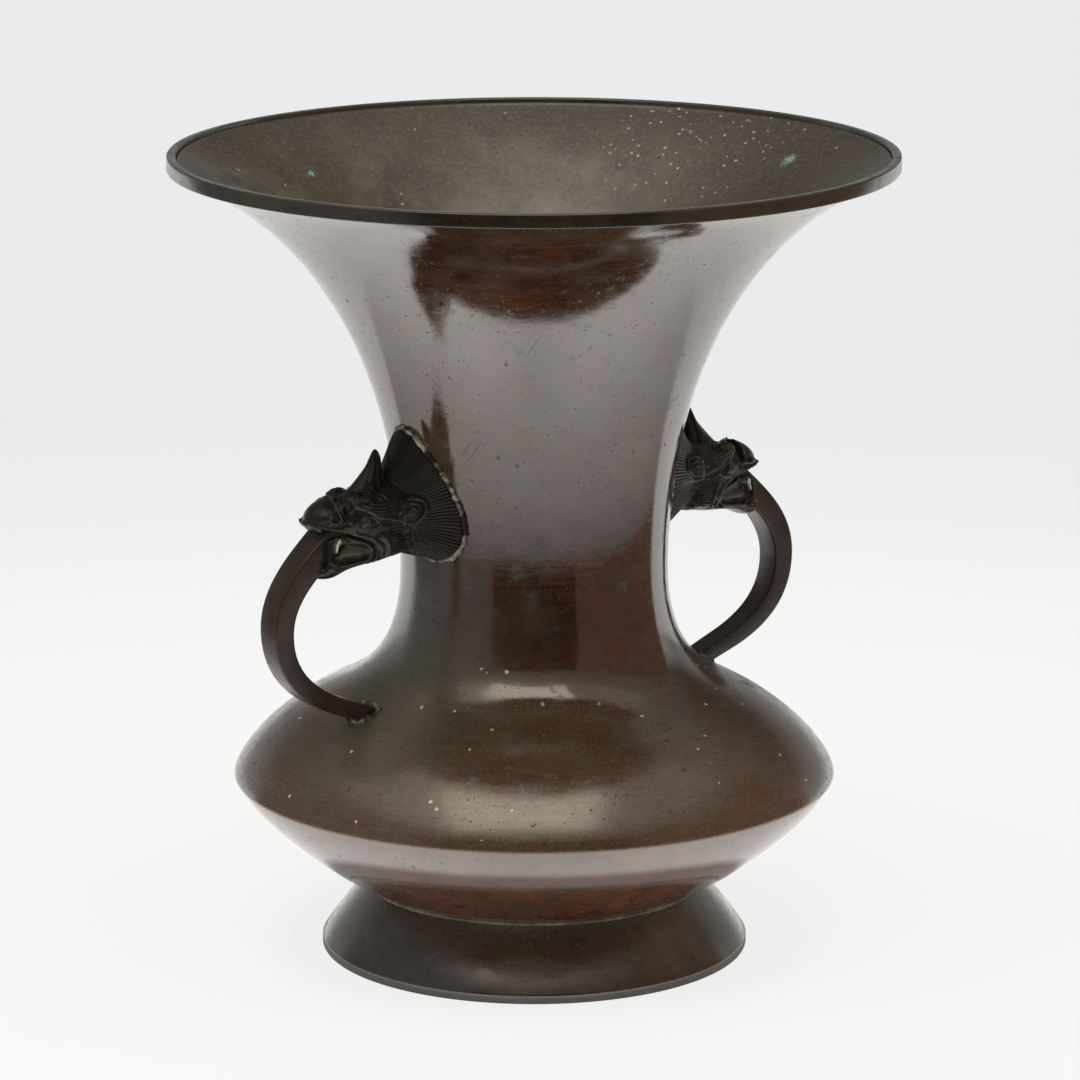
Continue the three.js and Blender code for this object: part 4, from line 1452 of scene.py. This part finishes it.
@dataclass
class HandleBar:
    """The square bar that leaves the beast's mouth, bows out and down and lands on the shoulder."""

    outline: VaseOutline
    head_root: np.ndarray
    mouth_out: float = 40.2
    mouth_drop: float = 10.3
    mouth_angle: float = -42.0
    tenon: float = 10.0
    reach: Pair = (104.2, 126.0)
    landing_radius: float = 70.0
    landing_angle: float = 22.0
    straight: float = 11.6
    sunk: float = 1.2
    upper_pulls: Pair = (11.0, 11.5)
    lower_pulls: Pair = (16.0, 13.0)
    solder_edge: float = 0.5
    solder_radius: float = 1.0
    top: Pair = (12.0, 9.0)
    end: Pair = (8.4, 5.6)

    @property
    def landing(self) -> Pair:
        """Where the bar's middle line meets the shoulder."""
        return self.landing_radius, self.outline.height_at(self.landing_radius)

    def path(self) -> np.ndarray:
        """The bar's middle line from tenon to shoulder.

        Returns:
            Radius and height as rows.
        """
        mouth = (self.head_root[0] + self.mouth_out, self.head_root[2] - self.mouth_drop)
        lower = stepped(self.landing, self.landing_angle, self.straight)
        start = stepped(mouth, self.mouth_angle, -self.tenon)
        leave, above = self.upper_pulls
        below, arrive = self.lower_pulls
        upper_bend = bezier(mouth, (self.mouth_angle, leave), self.reach, (90, above), 26)
        lower_bend = bezier(self.reach, (-90, below), lower, (self.landing_angle, arrive), 34)
        end = stepped(self.landing, self.landing_angle, -self.sunk)
        return np.vstack([[start], upper_bend, lower_bend[1:], np.linspace(lower, end, 8)[1:]])

    def build(self) -> Object:
        """Models the right-hand bar.

        Returns:
            The bar.
        """
        path = self.path()
        way = np.gradient(path, axis=0)
        way /= np.linalg.norm(way, axis=1)[:, None]
        length = np.concatenate([[0], np.cumsum(np.linalg.norm(np.diff(path, axis=0), axis=1))])
        share = length / length[-1]
        width = self.top[0] + (self.end[0] - self.top[0]) * share
        depth = self.top[1] + (self.end[1] - self.top[1]) * share
        rings = []
        for point, ahead, w, d in zip(path, way, width, depth):
            square = np.array([ahead[1], -ahead[0]])
            ring = []
            for across, through in ((1, 1), (-1, 1), (-1, -1), (1, -1)):
                spot = point + square * through * d / 2
                ring.append((spot[0], across * w / 2, spot[1]))
            rings.append(ring)
        return soften(skinned("right_bar", np.array(rings)), 0.75, 4, 50.0)

    def solder(self) -> Object:
        """The bead round the bar's foot on the shoulder.

        Returns:
            The piece.
        """
        half_width, half_depth = (size / 2 + self.solder_edge for size in self.end)
        across, through = oval(56, 4.0)
        outline = self.outline.upper(0, 60)[:61]
        way = math.radians(self.landing_angle)
        path = []
        for a, t in zip(across * half_width, through * half_depth):
            best = None
            for out in np.arange(-9, 9, 0.1):
                radius = self.landing[0] + math.cos(way) * out - math.sin(way) * t
                height = self.landing[1] + math.sin(way) * out + math.cos(way) * t
                gap = math.hypot(radius, a) - float(np.interp(height, outline[:, 1], outline[:, 0]))
                if best is None or abs(gap) < best[0]:
                    best = (abs(gap), radius, a, height)
            path.append(best[1:])
        return bead("right_bar_bead", np.array(path), self.solder_radius)


@dataclass
class Handles:
    """Both handles: head, bar, their solder and pins on each side."""

    outline: VaseOutline

    def build(self, materials: dict[str, Material]) -> None:
        """Models the right handle, copies it to the left and dresses both.

        Args:
            materials: Finishes by material slot.
        """
        head = BeastHead(self.outline)
        bar = HandleBar(self.outline, head.root)
        originals = {
            "beast_head": (head.build(), "head_bronze"),
            "collar_solder": (head.collar(), "solder"),
            "handle_bar": (bar.build(), "bar_bronze"),
            "bar_solder": (bar.solder(), "solder"),
        }
        for kind, (piece, slot) in originals.items():
            other = piece.copy()
            other.data = piece.data.copy()
            bpy.context.scene.collection.objects.link(other)
            other.data.transform(Side.LEFT.turn)
            for side, made in ((Side.RIGHT, piece), (Side.LEFT, other)):
                made.name = f"vase_{side.label}_{kind}"
                made.data.name = made.name
                dress(made, f"{side.label}_{kind}", slot, materials[slot])
        for side in Side:
            for kind in ("head_pin", "bar_pin"):
                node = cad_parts[f"{side.label}_{kind}"]
                node.data.materials.clear()
                node.data.materials.append(materials["pin_bronze"])


@dataclass
class Studio:
    """A pale paper floor in a soft-lit studio, seen from the photograph's place."""

    camera_place: Row = (-1.0111, -1.4990, 0.5714)
    camera_way: Row = (0.5451, 0.8062, -0.2299)
    lens_mm: float = 178.945
    sensor_mm: float = 36.0
    paper: str = "#fafaf9"
    matt: str = "#cbcbca"
    shadow_matt: str = "#6a6a69"
    haze: str = "#eaeceb"
    ceiling: str = "#706c66"
    white: float = 0.86
    bounce: float = 0.35
    front_shadow_place: Row = (-0.101, -0.149, 0.0)
    screen_span: Pair = (-120.0, 116.0)
    table_edge: float = 0.5
    screen_height: float = 0.45
    gap_half_span: float = 34.0
    screen_parts: tuple[tuple[str, str, float, float], ...] = (
        ("table_shade", "#4d4845", 0.17, 0.56),
        ("dark_gap", "#1a120e", 0.0, 0.1),
        ("left_wall", "#666666", 0.0, 0.1),
        ("right_wall", "#6e594d", 0.0, 0.1),
    )
    lamps: tuple[tuple[str, Row, Pair, float, bool, str], ...] = (
        ("front_softbox", (-0.293, -0.325, 1.223), (0.95, 0.66), 2.5, True, "#fff2e0"),
        ("overhead_key", (-0.2, -0.1, 1.8), (1.3, 1.3), 17.0, False, "#ffffff"),
        ("left_softbox", (-1.7, 0.3, 0.9), (0.9, 0.9), 6.0, False, "#ffffff"),
        ("right_softbox", (1.5, -0.9, 0.9), (0.8, 0.8), 5.0, False, "#ffffff"),
    )
    lamp_aim: Row = (0.0, 0.0, 0.14)

    def camera(self) -> None:
        """Sets the camera where the photograph was taken."""
        bpy.ops.object.camera_add(location=self.camera_place)
        camera = bpy.context.object
        camera.rotation_mode = "QUATERNION"
        camera.rotation_quaternion = Vector(self.camera_way).to_track_quat("-Z", "Y")
        camera.data.lens = self.lens_mm
        camera.data.sensor_width = self.sensor_mm
        bpy.context.scene.camera = camera

    def floor(self) -> None:
        """Lays a round sheet of white paper that fades into the background."""
        bpy.ops.mesh.primitive_circle_add(vertices=96, radius=1.5, fill_type="NGON", location=(0, 0, -0.0001))
        sheet = named("paper_floor")
        # White paper: matt, with a little light of its own so that it reads as the photograph's white table
        material, tree, where = Finish("white_paper").start()
        node = partial(add, tree)
        rays = node("LightPath").node.outputs
        seen = node("Math MAXIMUM", rays["Is Camera Ray"], rays["Is Transmission Ray"])
        paper = node("BsdfDiffuse", layered(tree, self.matt, (seen, self.shadow_matt)))
        # Seen mirrored in the vase: a painted pool of light round it, a painted shadow under its foot and a
        # painted shadow before it
        reach = node("VectorMath LENGTH", where, out="Value")
        pool = node("MapRange", reach, 0.12, 0.26, 1.12, 0.68)
        near = node("Math MULTIPLY", pool, node("MapRange", reach, 0.085, 0.093, 0.22, 1))
        front = node("VectorMath DISTANCE", where, self.front_shadow_place, out="Value")
        near = node("Math MULTIPLY", near, node("MapRange", front, 0.02, 0.12, 0.74, 1))
        mirrored = node("Math MULTIPLY", rays["Is Glossy Ray"], near)
        bounce = node("Math MULTIPLY_ADD", rays["Is Diffuse Ray"], self.bounce, mirrored)
        glow = node("Emission", self.paper, node("Math MULTIPLY_ADD", seen, self.white, bounce))
        fade = node("MapRange", reach, 0.3, 0.95, interpolation_type="SMOOTHSTEP")
        mixed = node("MixShader", fade, node("AddShader", paper, glow), node("BsdfTransparent"))
        fill(tree.nodes["Material Output"], {"Surface": mixed})
        sheet.data.materials.append(material)

    def world(self) -> None:
        """Surrounds the vase with a pale horizon under a dim ceiling."""
        world = bpy.data.worlds.new("studio")
        bpy.context.scene.world = world
        world.use_nodes = True
        tree = world.node_tree
        node = partial(add, tree)
        way = node("TexCoord", out="Generated")
        rise = node("SeparateXYZ", way, out=2)
        share = node("MapRange", rise, 0.12, 0.4, interpolation_type="SMOOTHSTEP")
        left = Vector((0, 0, 1)).cross(Vector(self.camera_way)).normalized()
        ahead = Vector((self.camera_way[0], self.camera_way[1], 0)).normalized()
        aside, behind = (node("VectorMath DOT_PRODUCT", way, axis, out="Value") for axis in (left, ahead))
        # Seen mirrored in the vase: brighter overhead and to the left, dim low down on the far side
        rays = node("LightPath").node.outputs
        mirrored = node("Math MAXIMUM", rays["Is Glossy Ray"], rays["Is Transmission Ray"])
        sky = node("MapRange", aside, -0.45, 0.45, 1.1, 2.3)
        sky = node("Math MULTIPLY", sky, node("MapRange", behind, 0.42, 0.2, 0.1))
        lamp_glow = node("Math MULTIPLY_ADD", sky, node("MapRange", rise, 0.7, 0.79), 0.2)
        level = node("Math MULTIPLY_ADD", mirrored, lamp_glow, 1)
        raised = node("MapRange", rise, -0.02, 0.05, 0, -0.75)
        dim = node("Math MULTIPLY", node("MapRange", behind, 0.4, 0.7), raised)
        dim = node("Math MULTIPLY", dim, node("MapRange", rise, 0.7, 0.5))
        level = node("Math MULTIPLY_ADD", mirrored, dim, level)
        colour = layered(tree, self.haze, (share, self.ceiling))
        fill(tree.nodes["Background"], {"Color": colour, "Strength": level})

    def lamp(self, name: str, place: Row, sides: Pair, power: float, mirrored: bool, colour: str) -> None:
        """Hangs a soft light aimed at the vase's middle.

        Args:
            name: Name of the light.
            place: Its place in metres.
            sides: Its width and height in metres.
            power: Its power in watts.
            mirrored: Whether it shows in reflections.
            colour: The colour of its light.
        """
        bpy.ops.object.light_add(type="AREA", location=place)
        lamp = named(name)
        lamp.data.shape = "RECTANGLE"
        lamp.data.size, lamp.data.size_y = sides
        lamp.data.energy = power
        lamp.data.color = linear(colour)[:3]
        lamp.rotation_mode = "QUATERNION"
        back = (Vector(place) - Vector(self.lamp_aim)).normalized()
        across = Vector(self.camera_way).cross(Vector((0, 0, 1))).normalized()
        across = (across - back * across.dot(back)).normalized()
        turn = Matrix((across, back.cross(across), back)).transposed()
        lamp.rotation_quaternion = turn.to_quaternion()
        lamp.visible_glossy = mirrored

    def dark_side(self) -> None:
        """Curves a dark screen round the camera's side of the table, seen only in reflections."""
        bpy.ops.mesh.primitive_grid_add(x_subdivisions=118, y_subdivisions=30, size=2 * MM)
        screen = named("dark_side_screen")
        share = (corners(screen) + 1) / 2
        first, last = self.screen_span
        ahead = math.atan2(self.camera_place[1], self.camera_place[0])
        angle = ahead + np.radians(first + (last - first) * share[:, 0])
        reach = np.minimum(0.14 + 1.44 * share[:, 1], self.table_edge)
        rise = np.maximum((share[:, 1] - 0.25) / 0.75, 0) * self.screen_height + 0.0004
        round_about = np.column_stack([np.cos(angle), np.sin(angle)]) * reach[:, None]
        reshape(screen, np.column_stack([round_about, rise]) / MM)
        # Dark room with a dim wall either side, and the table's shade toward its edge
        for name, shade, near, far in self.screen_parts:
            material, tree, where = Finish(name).start()
            node = partial(add, tree)
            fade = node("MapRange", node("VectorMath LENGTH", where, out="Value"), near, far)
            mixed = node("MixShader", fade, node("BsdfTransparent"), node("Emission", shade))
            fill(tree.nodes["Material Output"], {"Surface": mixed})
            screen.data.materials.append(material)
        for face in screen.data.polygons:
            place = math.degrees(math.atan2(face.center.y, face.center.x) - ahead)
            place = (place + 180) % 360 - 180
            if face.center.z < MM:
                face.material_index = 0
            elif abs(place) < self.gap_half_span:
                face.material_index = 1
            else:
                face.material_index = 3 if place > 0 else 2
        screen.visible_camera = False
        screen.visible_diffuse = False
        screen.visible_shadow = False

    def build(self) -> None:
        """Sets floor, background, lights and camera."""
        self.camera()
        self.floor()
        self.world()
        for row in self.lamps:
            self.lamp(*row)
        self.dark_side()
        bpy.context.scene.view_settings.view_transform = "Standard"


def main() -> None:
    """Builds the vase's looks and the studio around it."""
    outline = VaseOutline()
    body_skin = OxideSkin(
        "brown_oxide_bronze",
        edge_height_mm=outline.keel[1],
        low_height_mm=outline.keel[1],
        dusty_share=0.8,
        russet_share=0.7,
        flux_mm=((68.0, -6.0, 104.0), (-68.0, -6.0, 104.0)),
    ).build()
    foot_skin = OxideSkin(
        "olive_oxide_foot",
        skin="#2f2419",
        shade="#1b140c",
        bloom="#483f2c",
        grain_share=0.4,
        low_roughness=0.2,
        chip_heights_mm=(-1, -1),
    ).build()
    rim_skin = OxideSkin(
        "dark_olive_rim",
        skin="#241d12",
        shade="#120e08",
        bloom="#30291a",
        grain_share=0.3,
        roughness=0.2,
        chip_heights_mm=(-1, -1),
    ).build()
    bar_skin = OxideSkin(
        "rubbed_bar_bronze",
        skin="#33231a",
        shade="#1b130d",
        bloom="#3f3024",
        grain_share=0.3,
        roughness=0.3,
        index=1.6,
        chip_heights_mm=(-1, -1),
        pit_share=0.7,
    ).build()
    stains = (
        ((-33.3, 90.1, 263.8), 1.7, "#6fd0cb"),
        ((103.5, -5.6, 269.2), 3.2, "#7fa091"),
        ((98.8, 46.7, 272.7), 1.2, "#b5b3a6"),
        ((97.7, 39.0, 270.2), 0.9, "#a9b8ab"),
        ((104.5, 38.0, 274.0), 1.0, "#b9b8ad"),
    )
    inside = SatinInterior("satin_inside", stains_mm=stains).build()
    solder = DullSolder("weathered_solder").build()
    seam = DullSolder("rubbed_olive_seam", crust="#7d765c", dirt="#565040").build()
    Body(outline).build(body_skin, inside, foot_skin, rim_skin)
    SolderRings(outline).build(solder, seam)
    Handles(outline).build(
        {
            "head_bronze": CarvedSkin("carved_head_bronze").build(),
            "bar_bronze": bar_skin,
            "solder": solder,
            "pin_bronze": inside,
        }
    )
    Studio().build()


if __name__ == "__main__":
    main()
